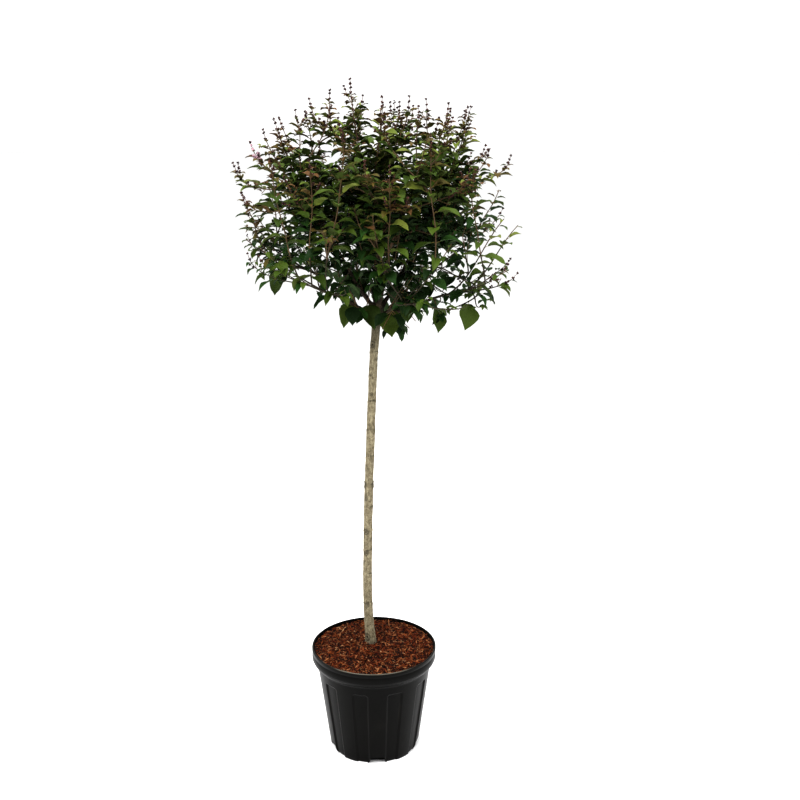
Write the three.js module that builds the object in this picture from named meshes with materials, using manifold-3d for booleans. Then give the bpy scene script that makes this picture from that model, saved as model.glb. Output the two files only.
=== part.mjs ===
// A lilac trained as a standard: a round leafy head in bud, grafted on a clear stem, in a ribbed
// growing pot filled to just under its rim and mulched with shredded bark.
//
// Millimetres, +Z up. The origin is the middle of the pot's flat underside, and the front is -Y.
// The head is eleven boughs that leave a swollen graft, each with a mass of twigs and leaves.
// Every mass keeps to its own wedge of space, so that no two of them meet.

import * as THREE from 'three';
import { mergeVertices } from 'three/addons/utils/BufferGeometryUtils.js';
import Module from 'manifold-3d';

const wasm = await Module();
wasm.setup();

const UP = new THREE.Vector3(0, 0, 1);
const vec = (x, y, z) => new THREE.Vector3(x, y, z);
const degrees = THREE.MathUtils.degToRad;
const mix = THREE.MathUtils.lerp;

// ---------------------------------------------------------------- driving dimensions

// Clearance between pieces that rest on, in or against one another.
const GAP = 0.3;

// Pot. Radii are to the outside of the wall, measured over the ribs.
const POT_HEIGHT = 269;
const POT_BASE_RADIUS = 112;
const POT_COLLAR_RADIUS = 142.5;
const POT_RIM_RADIUS = 156;
const POT_COLLAR_BOTTOM = 203;
const POT_COLLAR_TOP = 222;
const POT_LIP_BOTTOM = 240;
const POT_WALL = 2.5;
const POT_RIM_THICKNESS = 4.5;
const POT_RIM_BEAD = 3;
const POT_FLOOR = 4;
const POT_INNER_SEGMENTS = 30;

// Ribs stand out from the wall below the collar, one every turn / RIB_COUNT.
const RIB_COUNT = 10;
const RIB_WIDTH = degrees(18);
const RIB_FLANK = degrees(2);
const RIB_DEPTH = 3.5;
const RIB_FIRST = degrees(-85);

// Drain notches at the foot, one under every other rib.
const NOTCH_COUNT = RIB_COUNT / 2;
const NOTCH_WIDTH = 41;
const NOTCH_HEIGHT = 14;
const NOTCH_DEPTH = 21;

// What fills the pot.
const SOIL_TOP = 250;
const MULCH_AT_WALL = 260.5;
const MULCH_TOP = 266;
const MULCH_FLAT_RADIUS = 52;

// Trunk: its centre line from the mulch to the graft, and its radii.
const TRUNK_LINE = [
  vec(-9, 22, MULCH_TOP + GAP),
  vec(-15, 20, 380),
  vec(-11.5, 15, 640),
  vec(-3, 11, 860),
  vec(4.5, 7, 1020),
  vec(13.5, 5, 1122),
];
const TRUNK_RADIUS_LOW = 12.2;
const TRUNK_RADIUS_HIGH = 10.2;
const TRUNK_FLARE = 3.4;
const TRUNK_FLARE_HEIGHT = 26;
const TRUNK_SIDES = 12;
const TRUNK_STEPS = 9;
const GRAFT_RADIUS = 15.5;
const GRAFT_LENGTH = 30;

// Boughs: compass angle from +X towards +Y, angle above level, length, and how far below the
// graft's middle it leaves the stem.
const BOUGHS = [
  { name: 'leader', compass: 120, rise: 86, length: 125, drop: 0 },
  { name: 'upper_1', compass: 20, rise: 56, length: 125, drop: 2 },
  { name: 'upper_2', compass: 108, rise: 54, length: 120, drop: 4 },
  { name: 'upper_3', compass: 200, rise: 55, length: 130, drop: 3 },
  { name: 'upper_4', compass: 288, rise: 57, length: 125, drop: 1 },
  { name: 'lower_1', compass: -9, rise: 13, length: 135, drop: 12 },
  { name: 'lower_2', compass: 50, rise: 19, length: 120, drop: 22 },
  { name: 'lower_3', compass: 112, rise: 20, length: 115, drop: 9 },
  { name: 'lower_4', compass: 174, rise: 29, length: 140, drop: 20 },
  { name: 'lower_5', compass: 232, rise: 18, length: 115, drop: 8 },
  { name: 'lower_6', compass: 292, rise: 13, length: 110, drop: 19 },
];
const BOUGH_RADIUS = 4.8;
const BOUGH_END_RADIUS = 3.2;
const BOUGH_SAG = degrees(9);
const BOUGH_SIDES = 5;
const BOUGH_STEPS = 3;

// Head: shoot tips lie on a rounded box about its centre, and none hangs below its underside.
const HEAD_CENTRE = vec(20, 10, 1270);
const HEAD_REACH = vec(312, 288, 326);
const HEAD_SQUARENESS = 2.8;
const HEAD_UNDERSIDE = 1088;
const HEAD_UNDERSIDE_SLOPE = 0.4;
const HEAD_FOOT_RADIUS = 105;
const TIP_LATTICE = 72;
const TIP_REACH_LOW = 0.88;
const TIP_REACH_HIGH = 1.0;

// Leading shoots, whose tips stand out of the round of the head.
const LEADING_TIPS = [
  vec(-46, 0, 1603),
  vec(-262, -10, 1480),
  vec(-200, 30, 1508),
  vec(204, 0, 1550),
  vec(314, 20, 1446),
  vec(326, -10, 1325),
  vec(318, -45, 1200),
  vec(-284, -5, 1284),
];
const LEADING_TIP_ROOM = 62;

// Edges shorter than this are closed up where twigs and leaves are fused.
const SMALLEST_EDGE = 0.02;

// Twigs.
const STEM_RADIUS = 3.2;
const SHOOT_RADIUS = 2.6;
const TWIG_END_RADIUS = 1.5;
const STEM_STEPS = 5;
const SHOOT_STEPS = 3;
const TWIG_BEND = 0.33;
const SHOOT_FIRST = 0.1;
const SHOOT_LAST = 0.6;
const TIP_DRAWN_IN = 0.08;
const WEDGE_CLEARANCE = 0.6;

// Leaves, in opposite pairs, and flower buds at the shoots' tips.
const LEAF_LENGTH = 84;
const LEAF_SIZES = [0.5, 0.85, 1.05, 1.05];
const LEAF_WIDTH = 0.58;
const LEAF_WIDEST = 0.42;
const LEAF_THICKNESS = 2.4;
const LEAF_FOLD = 0.1;
const LEAF_SINK = 0.9;
const LEAF_SPACING = 56;
const LEAF_FIRST = 16;
const LEAF_TURNS = [0, 0.8, -0.8, 1.6];
const LEAF_DROOP = [0.05, 0.5];
const LEAF_CLEARANCE = 0.3;
const LIMB_CLEARANCE = 4;
const BUD_LENGTH = 40;
const BUD_WIDTH = 10;
const BUD_SINK = 8;
const BUD_SHARE = 0.6;
const BUDS_ABOVE = 1230;

// ---------------------------------------------------------------- materials

const finish = (color, roughness) => new THREE.MeshStandardMaterial({ color, roughness, metalness: 0 });
const POT_PLASTIC = finish(0x1d1d1c, 0.5);
const DAMP_SOIL = finish(0x2a1c14, 1);
const BARK_MULCH = finish(0x5c3020, 0.95);
const STEM_BARK = finish(0x85765a, 0.9);
const BOUGH_BARK = finish(0x6e5b42, 0.9);
const FOLIAGE = finish(0x45562a, 0.65);

// ---------------------------------------------------------------- solids

/** A geometry's points joined at their shared corners, with nothing but positions left. */
function welded(geometry) {
  const plain = geometry.clone();
  plain.deleteAttribute('normal');
  plain.deleteAttribute('uv');
  return mergeVertices(plain, 1e-5);
}

/** A closed geometry as a solid that can be joined and cut. */
function solid(geometry) {
  const closed = geometry.index && !geometry.attributes.normal ? geometry : welded(geometry);
  return new wasm.Manifold(new wasm.Mesh({
    numProp: 3,
    vertProperties: new Float32Array(closed.attributes.position.array),
    triVerts: new Uint32Array(closed.index.array),
  }));
}

/** A solid back as a geometry. */
function geometryOf(manifold) {
  const { vertProperties, triVerts } = manifold.getMesh();
  const geometry = new THREE.BufferGeometry();
  geometry.setAttribute('position', new THREE.BufferAttribute(vertProperties, 3));
  geometry.setIndex(new THREE.BufferAttribute(triVerts, 1));
  return geometry;
}

/** The largest body of a solid, without loose scraps and with sealed hollows filled. */
function mainBody(manifold) {
  return manifold.decompose().reduce((best, piece) => (piece.volume() > best.volume() ? piece : best));
}

/** A closed skin through rings of equal count, from the first ring's cap to the last one's. */
function loft(rings) {
  const count = rings[0].length;
  const points = rings.flat();
  const faces = [];
  for (let row = 0; row + 1 < rings.length; row += 1) {
    for (let i = 0; i < count; i += 1) {
      const a = row * count + i;
      const b = row * count + ((i + 1) % count);
      faces.push(a, b, b + count, a, b + count, a + count);
    }
  }
  const last = (rings.length - 1) * count;
  for (let i = 1; i + 1 < count; i += 1) {
    faces.push(0, i + 1, i);
    faces.push(last, last + i, last + i + 1);
  }
  const geometry = new THREE.BufferGeometry().setFromPoints(points);
  geometry.setIndex(faces);
  return geometry;
}

/** The points of a curve at even steps, and its direction at each. */
function line(curve, steps) {
  const shares = Array.from({ length: steps + 1 }, (_, i) => i / steps);
  return {
    points: shares.map((share) => curve.getPoint(share)),
    tangents: shares.map((share) => curve.getTangent(share)),
  };
}

/** A limb of round section along a line, with a radius at each point. */
function limb({ points, tangents }, radii, sides) {
  const side = vec(1, 0.2, 0.1);
  const rings = points.map((point, i) => {
    side.addScaledVector(tangents[i], -side.dot(tangents[i])).normalize();
    const across = tangents[i].clone().cross(side);
    return Array.from({ length: sides }, (_, k) => {
      const turn = (2 * Math.PI * k) / sides;
      return point.clone()
        .addScaledVector(side, radii[i] * Math.cos(turn))
        .addScaledVector(across, radii[i] * Math.sin(turn));
    });
  });
  return loft(rings);
}

/** A solid of revolution about +Z from [radius, height] pairs that start and end on the axis. */
function turned(profile, segments) {
  const points = profile.map(([radius, height]) => new THREE.Vector2(radius, height));
  return new THREE.LatheGeometry(points, segments).rotateX(Math.PI / 2);
}

/** A named mesh for the assembly. */
function piece(name, geometry, material) {
  const mesh = new THREE.Mesh(geometry, material);
  mesh.name = name;
  return mesh;
}

// ---------------------------------------------------------------- pot, soil and mulch

/** The pot's outside radius over the ribs at a height below the collar. */
const wallRadius = (z) => mix(POT_BASE_RADIUS, POT_COLLAR_RADIUS, z / POT_COLLAR_TOP);

/** The angles and the share of rib at each point round the pot, six to a rib. */
function ribPoints() {
  const pitch = (2 * Math.PI) / RIB_COUNT;
  const half = RIB_WIDTH / 2;
  return Array.from({ length: RIB_COUNT }, (_, k) => RIB_FIRST + k * pitch).flatMap((middle) => [
    { angle: middle - half, rib: 1 },
    { angle: middle, rib: 1 },
    { angle: middle + half, rib: 1 },
    { angle: middle + half + RIB_FLANK, rib: 0 },
    { angle: middle + pitch / 2, rib: 0 },
    { angle: middle + pitch - half - RIB_FLANK, rib: 0 },
  ]);
}

/** The space inside the pot, or with an inset the solid that fills it up to a height. */
function potInside(inset, bottom, top) {
  const wall = POT_WALL + RIB_DEPTH + inset;
  const lip = POT_RIM_RADIUS - POT_RIM_THICKNESS - inset;
  const profile = [
    [0, bottom],
    [wallRadius(bottom) - wall, bottom],
    [wallRadius(POT_COLLAR_TOP) - wall, POT_COLLAR_TOP],
    [lip, POT_LIP_BOTTOM],
    [lip, top],
    [0, top],
  ];
  return solid(turned(profile, POT_INNER_SEGMENTS));
}

/** One box at each drain notch, from the pot's outside inwards. */
function notchBoxes(grow) {
  const depth = NOTCH_DEPTH + grow;
  const outer = POT_BASE_RADIUS + 2;
  const height = NOTCH_HEIGHT + grow;
  const boxes = Array.from({ length: NOTCH_COUNT }, (_, k) => {
    const box = new THREE.BoxGeometry(depth, NOTCH_WIDTH + 2 * grow, height + 1);
    box.translate(outer - depth / 2, 0, (height - 1) / 2);
    return solid(box.rotateZ(RIB_FIRST + (k * 2 * Math.PI) / NOTCH_COUNT));
  });
  return wasm.Manifold.union(boxes);
}

/** The ribbed pot: a thin shell with a rolled lip, a flat floor and pocketed drain notches. */
function pot() {
  const points = ribPoints();
  const ring = (z, over, ribDepth = 0) => points.map(({ angle, rib }) => {
    const radius = over - (1 - rib) * ribDepth;
    return vec(radius * Math.cos(angle), radius * Math.sin(angle), z);
  });
  const outside = solid(loft([
    ring(0, POT_BASE_RADIUS, RIB_DEPTH),
    ring(POT_COLLAR_BOTTOM, wallRadius(POT_COLLAR_BOTTOM), RIB_DEPTH),
    ring(POT_COLLAR_BOTTOM + RIB_DEPTH, wallRadius(POT_COLLAR_BOTTOM + RIB_DEPTH)),
    ring(POT_COLLAR_TOP, POT_COLLAR_RADIUS),
    ring(mix(POT_COLLAR_TOP, POT_LIP_BOTTOM, 0.6), mix(POT_COLLAR_RADIUS, POT_RIM_RADIUS, 0.8)),
    ring(POT_LIP_BOTTOM, POT_RIM_RADIUS),
    ring(POT_HEIGHT - POT_RIM_BEAD, POT_RIM_RADIUS),
    ring(POT_HEIGHT, POT_RIM_RADIUS - POT_RIM_BEAD / 2),
  ]));
  const inside = potInside(0, POT_FLOOR, POT_HEIGHT + 1);
  const pockets = notchBoxes(POT_WALL).intersect(outside);
  const shell = outside.subtract(inside).add(pockets).subtract(notchBoxes(0));
  return piece('pot', geometryOf(mainBody(shell)), POT_PLASTIC);
}

/** The soil, clear of the pot's wall and of the pockets over its drain notches. */
function soil() {
  const fill = potInside(GAP, POT_FLOOR + GAP, SOIL_TOP);
  const cut = fill.subtract(notchBoxes(POT_WALL + GAP));
  return piece('soil', geometryOf(mainBody(cut)), DAMP_SOIL);
}

/** The layer of bark mulch, low at the wall and flat round the stem. */
function mulch() {
  const radius = POT_RIM_RADIUS - POT_RIM_THICKNESS - GAP;
  const profile = [
    [0, SOIL_TOP + GAP],
    [radius, SOIL_TOP + GAP],
    [radius, MULCH_AT_WALL],
    [mix(MULCH_FLAT_RADIUS, radius, 0.6), mix(MULCH_TOP, MULCH_AT_WALL, 0.4)],
    [MULCH_FLAT_RADIUS, MULCH_TOP],
    [0, MULCH_TOP],
  ];
  return piece('mulch', welded(turned(profile, POT_INNER_SEGMENTS)), BARK_MULCH);
}

// ---------------------------------------------------------------- trunk and boughs

const FORK = TRUNK_LINE[TRUNK_LINE.length - 1];
const trunkCurve = new THREE.CatmullRomCurve3(TRUNK_LINE);

/** The trunk's radius at a share of its length: flare, slow taper, swollen graft, round top. */
function trunkRadius(share) {
  const height = share * (FORK.z - TRUNK_LINE[0].z);
  const below = FORK.z - TRUNK_LINE[0].z - height;
  const flare = TRUNK_FLARE * Math.exp(-height / TRUNK_FLARE_HEIGHT);
  const taper = mix(TRUNK_RADIUS_LOW, TRUNK_RADIUS_HIGH, share);
  const graft = (GRAFT_RADIUS - TRUNK_RADIUS_HIGH) * Math.exp(-((below / GRAFT_LENGTH) ** 2));
  return taper + flare + graft;
}

/** The trunk from its flat foot to the rounded head of the graft, grown all over if asked. */
function trunkSolid(grow) {
  const shares = Array.from({ length: TRUNK_STEPS + 1 }, (_, i) => i / TRUNK_STEPS);
  shares.splice(1, 0, TRUNK_FLARE_HEIGHT / 1.5 / trunkCurve.getLength());
  shares.splice(-1, 0, 1 - GRAFT_LENGTH / trunkCurve.getLength());
  const points = shares.map((share) => trunkCurve.getPointAt(share));
  const tangents = shares.map((share) => trunkCurve.getTangentAt(share));
  const radii = shares.map((share) => trunkRadius(share) + grow);
  const top = trunkCurve.getTangentAt(1);
  [0.45, 0.8, 0.97].forEach((rise) => {
    points.push(FORK.clone().addScaledVector(top, (GRAFT_RADIUS + grow) * rise));
    tangents.push(top);
    radii.push((GRAFT_RADIUS + grow) * Math.sqrt(1 - rise * rise));
  });
  const stem = solid(limb({ points, tangents }, radii, TRUNK_SIDES));
  const ground = new THREE.BoxGeometry(200, 200, 100).translate(0, 0, TRUNK_LINE[0].z - grow - 50);
  return stem.subtract(solid(ground));
}

/** A direction from its compass angle and its angle above level. */
function heading(compass, rise) {
  return vec(Math.cos(rise) * Math.cos(compass), Math.cos(rise) * Math.sin(compass), Math.sin(rise));
}

/** A bough's line: it leaves the stem flatter than it goes on. */
function boughCurve({ compass, rise, length, drop }) {
  const turn = degrees(compass);
  const end = FORK.clone().addScaledVector(heading(turn, degrees(rise)), length);
  const start = FORK.clone().addScaledVector(UP, -drop);
  const reach = start.distanceTo(end);
  const sag = rise > 80 ? 0 : BOUGH_SAG;
  return new THREE.CubicBezierCurve3(
    start,
    start.clone().addScaledVector(heading(turn, degrees(rise) - sag), reach * 0.35),
    end.clone().addScaledVector(heading(turn, degrees(rise) + sag), -reach * 0.35),
    end,
  );
}

/** One bough, cut clear of the trunk at its foot. */
function bough(data, clearOfTrunk) {
  const path = line(boughCurve(data), BOUGH_STEPS);
  const radii = path.points.map((_, i) => mix(BOUGH_RADIUS, BOUGH_END_RADIUS, i / BOUGH_STEPS));
  const whole = solid(limb(path, radii, BOUGH_SIDES));
  const cut = mainBody(whole.subtract(clearOfTrunk));
  return piece(`bough_${data.name}`, geometryOf(cut), BOUGH_BARK);
}

// ---------------------------------------------------------------- the rule of growth

/** A seeded source of numbers from 0 to 1, so that the plant grows alike every time. */
function seeded(seed) {
  let state = 1 + seed * 7919;
  const next = () => {
    state = (state * 48271) % 2147483647;
    return state / 2147483647;
  };
  for (let i = 0; i < 4; i += 1) next();
  return next;
}

/** How far the head reaches from its centre in a direction. */
function headReach(direction) {
  const n = HEAD_SQUARENESS;
  const sum = Math.abs(direction.x / HEAD_REACH.x) ** n
    + Math.abs(direction.y / HEAD_REACH.y) ** n
    + Math.abs(direction.z / HEAD_REACH.z) ** n;
  return sum ** (-1 / n);
}

/** The level distance between two points. */
const flatDistance = (a, b) => Math.hypot(a.x - b.x, a.y - b.y);

/** The height of the head's underside at a point: it rises outwards, and more to the left. */
function underside(point) {
  const out = point.clone().sub(FORK).setZ(0);
  const slope = HEAD_UNDERSIDE_SLOPE * (1 - 0.5 * (out.x / (out.length() + 1)));
  return HEAD_UNDERSIDE + slope * out.length();
}

/** Every shoot's tip: the leading ones, and an even lattice over the head between them. */
function shootTips() {
  const tips = LEADING_TIPS.map((tip) => tip.clone());
  const draw = seeded(1);
  for (let k = 0; k < TIP_LATTICE; k += 1) {
    const z = 1 - (2 * k + 1) / TIP_LATTICE;
    const turn = k * Math.PI * (3 - Math.sqrt(5));
    const flat = Math.sqrt(1 - z * z);
    const direction = vec(flat * Math.cos(turn), flat * Math.sin(turn), z);
    const reach = headReach(direction) * mix(TIP_REACH_LOW, TIP_REACH_HIGH, draw());
    const tip = HEAD_CENTRE.clone().addScaledVector(direction, reach);
    const crowded = LEADING_TIPS.some((leading) => leading.distanceTo(tip) < LEADING_TIP_ROOM);
    tip.z = Math.max(tip.z, underside(tip));
    const overFoot = tip.z < FORK.z + HEAD_FOOT_RADIUS && flatDistance(tip, FORK) < HEAD_FOOT_RADIUS;
    if (!crowded && !overFoot) tips.push(tip);
  }
  return tips;
}

const AXES = BOUGHS.map(({ compass, rise }) => heading(degrees(compass), degrees(rise)));

/** The wedge that a point lies in: that of the bough whose direction is nearest. */
function wedgeOf(point) {
  const towards = point.clone().sub(FORK);
  return AXES.reduce((best, axis, i) => (axis.dot(towards) > AXES[best].dot(towards) ? i : best), 0);
}

/** Whether a point is in a wedge and clear of its sides. */
function inWedge(point, wedge) {
  const towards = point.clone().sub(FORK);
  return AXES.every((axis, i) => {
    if (i === wedge) return true;
    const across = AXES[wedge].clone().sub(axis).normalize();
    return towards.dot(across) > WEDGE_CLEARANCE;
  });
}

/** A twig's curve from its foot to its tip, turning up and outwards at its end. */
function twigCurve(foot, leaving, tip) {
  const reach = foot.distanceTo(tip);
  const outward = tip.clone().sub(HEAD_CENTRE).normalize();
  const ending = outward.multiplyScalar(0.55).addScaledVector(UP, 0.5).normalize();
  return new THREE.CubicBezierCurve3(
    foot,
    foot.clone().addScaledVector(leaving, reach * TWIG_BEND),
    tip.clone().addScaledVector(ending, -reach * TWIG_BEND),
    tip,
  );
}

/** The twigs of one mass: a stem on the bough's end, and the shoots that leave it in turn. */
function growTwigs(wedge, tips) {
  const axis = AXES[wedge];
  const own = tips.filter((tip) => wedgeOf(tip) === wedge).map((tip) => {
    const towards = tip.clone().sub(FORK);
    const reach = towards.length();
    return towards.normalize().lerp(axis, TIP_DRAWN_IN).normalize().multiplyScalar(reach).add(FORK);
  });
  const nearness = (tip) => tip.clone().sub(FORK).normalize().dot(axis);
  own.sort((a, b) => nearness(b) - nearness(a));
  const draw = seeded(100 + wedge);
  const curve = boughCurve(BOUGHS[wedge]);
  const leaving = curve.getTangent(1);
  const foot = curve.getPoint(1).addScaledVector(leaving, GAP);
  const stem = twigCurve(foot, leaving, own[0]);
  const twigs = [{ curve: stem, thick: STEM_RADIUS, steps: STEM_STEPS }];
  own.slice(1).forEach((tip, i) => {
    const share = mix(SHOOT_LAST, SHOOT_FIRST, (i + draw()) / own.length);
    const start = stem.getPoint(share);
    const aim = tip.clone().sub(start).normalize();
    const away = stem.getTangent(share).multiplyScalar(0.5).addScaledVector(aim, 0.6).normalize();
    twigs.push({ curve: twigCurve(start, away, tip), thick: SHOOT_RADIUS, steps: SHOOT_STEPS });
  });
  return twigs;
}

// ---------------------------------------------------------------- masses of foliage

const OCTAHEDRON = welded(new THREE.OctahedronGeometry(1));

/** An eight-faced body whose corners are placed by a function of the octahedron's own. */
function eightFaced(place) {
  const geometry = OCTAHEDRON.clone();
  const corners = geometry.attributes.position;
  for (let i = 0; i < corners.count; i += 1) {
    const corner = place(vec(corners.getX(i), corners.getY(i), corners.getZ(i)).round());
    corners.setXYZ(i, corner.x, corner.y, corner.z);
  }
  return geometry;
}

/** A folded, pointed leaf from a point on a twig, along one direction, facing another. */
function leafBody(root, along, facing, length) {
  const across = facing.clone().cross(along);
  return eightFaced(({ x, y, z }) => {
    const out = x < 0 ? -LEAF_SINK : mix(LEAF_WIDEST, 1, x) * length;
    return root.clone()
      .addScaledVector(along, out)
      .addScaledVector(across, y * LEAF_WIDTH * length * 0.5)
      .addScaledVector(facing, z * LEAF_THICKNESS * 0.5 + Math.abs(y) * LEAF_FOLD * length);
  });
}

/** A spike of flower buds standing on a shoot's tip. */
function budBody(tip, along) {
  const side = vec(1, 0.2, 0.1).cross(along).normalize();
  const across = along.clone().cross(side);
  return eightFaced(({ x, y, z }) => tip.clone()
    .addScaledVector(along, x < 0 ? -BUD_SINK : mix(0.35, 1, x) * (BUD_LENGTH - BUD_SINK))
    .addScaledVector(side, y * BUD_WIDTH * 0.5)
    .addScaledVector(across, z * BUD_WIDTH * 0.5));
}

/** Places along a line of points, at distances measured back from its end. */
function placesFromEnd(points, distances) {
  const places = [];
  let walked = 0;
  for (let i = points.length - 1; i > 0 && places.length < distances.length; i -= 1) {
    const step = points[i].distanceTo(points[i - 1]);
    const tangent = points[i].clone().sub(points[i - 1]).normalize();
    while (places.length < distances.length && distances[places.length] < walked + step) {
      const back = distances[places.length] - walked;
      places.push({ point: points[i].clone().addScaledVector(tangent, -back), tangent });
    }
    walked += step;
  }
  return places;
}

/** One leaf of a pair on a twig, turned about the twig by an angle. */
function leafAt({ point, tangent }, turn, length, droop) {
  const side = vec(0, 1, 0.3).cross(tangent).normalize().applyAxisAngle(tangent, turn);
  const along = side.addScaledVector(tangent, 0.5).addScaledVector(UP, -droop).normalize();
  const outward = point.clone().sub(FORK).normalize();
  const facing = outward.multiplyScalar(0.7).addScaledVector(UP, 0.35).addScaledVector(tangent, 0.3);
  facing.addScaledVector(along, -facing.dot(along)).normalize();
  return leafBody(point, along, facing, length);
}

/** Every corner of a geometry. */
function cornersOf(geometry) {
  const corners = geometry.attributes.position;
  return Array.from({ length: corners.count }, (_, i) => new THREE.Vector3().fromBufferAttribute(corners, i));
}

/** The pairs of leaves along a twig: for each pair the place, turn, size and droop of its leaves. */
function leafPlaces({ points, curve }, draw) {
  const room = Math.floor((curve.getLength() - 2 * LEAF_FIRST) / LEAF_SPACING);
  const pairs = THREE.MathUtils.clamp(room, 1, LEAF_SIZES.length);
  const distances = Array.from({ length: pairs }, (_, i) => LEAF_FIRST + i * LEAF_SPACING);
  const firstTurn = draw() * Math.PI;
  return placesFromEnd(points, distances).map((place, pair) => [0, Math.PI].map((hand) => ({
    place,
    turn: firstTurn + (pair * Math.PI) / 2 + hand,
    length: LEAF_LENGTH * LEAF_SIZES[pair] * mix(0.85, 1.05, draw()),
    droop: mix(...LEAF_DROOP, draw()),
  })));
}

/** One mass: its twigs, its leaves and its buds fused into one body inside its own wedge. */
function mass(wedge, tips, limbs) {
  const draw = seeded(200 + wedge);
  const fits = (geometry) => cornersOf(geometry).every((corner) => inWedge(corner, wedge));
  const apart = (body, others, room) => others.every((other) => body.minGap(other, room) >= room);
  const twigs = growTwigs(wedge, tips).map(({ curve, thick, steps }) => {
    const path = line(curve, steps);
    const radii = path.points.map((_, i) => mix(thick, TWIG_END_RADIUS, i / steps));
    return { curve, points: path.points, geometry: limb(path, radii, 3) };
  }).filter(({ geometry }) => fits(geometry));
  const wood = twigs.map(({ geometry }) => solid(geometry));
  const leaves = [];
  const buds = [];
  twigs.forEach((twig, index) => {
    const otherWood = wood.filter((_, other) => other !== index);
    const clear = (body) => apart(body, limbs, LIMB_CLEARANCE)
      && apart(body, [...leaves, ...otherWood], LEAF_CLEARANCE);
    leafPlaces(twig, draw).forEach((pair) => {
      const grown = pair.map(({ place, turn, length, droop }) => LEAF_TURNS
        .map((more) => leafAt(place, turn + more, length, droop))
        .filter(fits).map(solid).find(clear));
      leaves.push(...grown.filter(Boolean));
    });
    const tip = twig.points.at(-1);
    const inBud = draw() < BUD_SHARE || index === 0;
    if (inBud && tip.z > BUDS_ABOVE) {
      const bud = budBody(tip, tip.clone().sub(twig.points.at(-2)).normalize());
      if (fits(bud)) buds.push(solid(bud));
    }
  });
  const fused = wasm.Manifold.union([...wood, ...leaves, ...buds]).simplify(SMALLEST_EDGE);
  return piece(`mass_${BOUGHS[wedge].name}`, geometryOf(mainBody(fused)), FOLIAGE);
}

// ---------------------------------------------------------------- assembly

const lilac = new THREE.Group();
lilac.name = 'potted_lilac';
lilac.add(pot(), soil(), mulch());

const trunk = trunkSolid(0);
lilac.add(piece('trunk', geometryOf(trunk), STEM_BARK));

const clearOfTrunk = trunkSolid(GAP);
const boughs = BOUGHS.map((data) => bough(data, clearOfTrunk));
lilac.add(...boughs);

const tips = shootTips();
BOUGHS.forEach((_, wedge) => {
  const limbs = [trunk, solid(boughs[wedge].geometry)];
  lilac.add(mass(wedge, tips, limbs));
});

export default lilac;
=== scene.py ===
"""A grafted standard lilac in bud: the dressed model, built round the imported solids.

Metres, +Z up. The origin is the middle of the pot's flat underside, and the front is -Y.
The head grows by the same seeded rule as the solids' masses do, and goes on from there to side
twigs, single leaves and flower buds that keep within the same reach.
"""

import logging
import math
from collections.abc import Iterator, Sequence
from dataclasses import dataclass, field
from enum import Enum

import bmesh
import bpy
import numpy as np
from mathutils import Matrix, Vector, noise


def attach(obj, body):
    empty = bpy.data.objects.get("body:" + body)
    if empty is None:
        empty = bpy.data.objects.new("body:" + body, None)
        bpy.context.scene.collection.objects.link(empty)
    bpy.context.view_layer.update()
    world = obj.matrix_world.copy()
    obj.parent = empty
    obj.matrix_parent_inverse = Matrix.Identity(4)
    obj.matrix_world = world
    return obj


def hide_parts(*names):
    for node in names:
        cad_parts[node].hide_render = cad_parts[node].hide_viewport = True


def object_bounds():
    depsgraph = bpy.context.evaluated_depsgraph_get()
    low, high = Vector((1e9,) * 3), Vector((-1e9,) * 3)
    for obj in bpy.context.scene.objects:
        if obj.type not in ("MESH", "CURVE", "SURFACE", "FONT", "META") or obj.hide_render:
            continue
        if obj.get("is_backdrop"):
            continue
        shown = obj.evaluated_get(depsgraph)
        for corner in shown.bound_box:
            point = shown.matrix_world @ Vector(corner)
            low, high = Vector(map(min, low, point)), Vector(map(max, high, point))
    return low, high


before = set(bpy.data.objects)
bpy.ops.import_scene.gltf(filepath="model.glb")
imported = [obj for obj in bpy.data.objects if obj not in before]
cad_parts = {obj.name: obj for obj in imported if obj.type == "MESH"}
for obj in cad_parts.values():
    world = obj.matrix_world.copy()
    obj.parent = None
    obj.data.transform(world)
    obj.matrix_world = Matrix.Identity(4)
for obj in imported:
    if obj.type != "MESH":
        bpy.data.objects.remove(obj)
CAD_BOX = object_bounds()

Array = np.ndarray
Pair = tuple[float, float]
Place = tuple[float, float, float]
Colour = tuple[float, ...]
Socket = bpy.types.NodeSocket
UP = np.array([0.0, 0.0, 1.0])
BODY = "root"
log = logging.getLogger("lilac")


class Slot(Enum):
    """The record's material slots."""

    POT = "pot_plastic"
    MULCH = "mulch"
    TRUNK = "trunk_bark"
    BOUGH = "bough_bark"
    FOLIAGE = "foliage"


class Tint(Enum):
    """The colours of leaves, by their age and the light that they grew in, and with painted light and
    shade: darker deep inside and low down, lighter on top.
    """

    DEEP = "deep"
    MID = "mid"
    FRESH_TOPLIT = "fresh_toplit"
    BRONZE = "bronze"


class Rank(Enum):
    """The kinds of twig: a mass's stem, its shoots, the ones that fill it, and side twigs."""

    STEM = 0
    SHOOT = 1
    INNER = 2
    LATE = 3
    RISER = 4
    SIDE = 5


OUTER_RANKS = (Rank.STEM, Rank.SHOOT, Rank.LATE, Rank.RISER)


# ---------------------------------------- sums on points


def mix(low: float, high: float, share: float) -> float:
    """The value that lies a share of the way from low to high."""
    return low + (high - low) * share


def unit(vectors: Array) -> Array:
    """The same directions with a length of one."""
    return vectors / np.maximum(np.linalg.norm(vectors, axis=-1, keepdims=True), 1e-12)


def length_of(vector: Array) -> float:
    """The length of one vector."""
    return float(np.linalg.norm(vector))


def flat_length(vector: Array) -> float:
    """The length of one vector as seen from above."""
    return float(np.hypot(*vector[:2]))


def smooth_step(low: float, high: float, value: Array) -> Array:
    """A smooth rise from 0 at low to 1 at high."""
    share = np.clip((value - low) / (high - low), 0, 1)
    return share * share * (3 - 2 * share)


def step_at(low: float, high: float, value: float) -> float:
    """The same smooth rise at one value; low may be the greater."""
    return float(smooth_step(low, high, np.array(value)))


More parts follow.
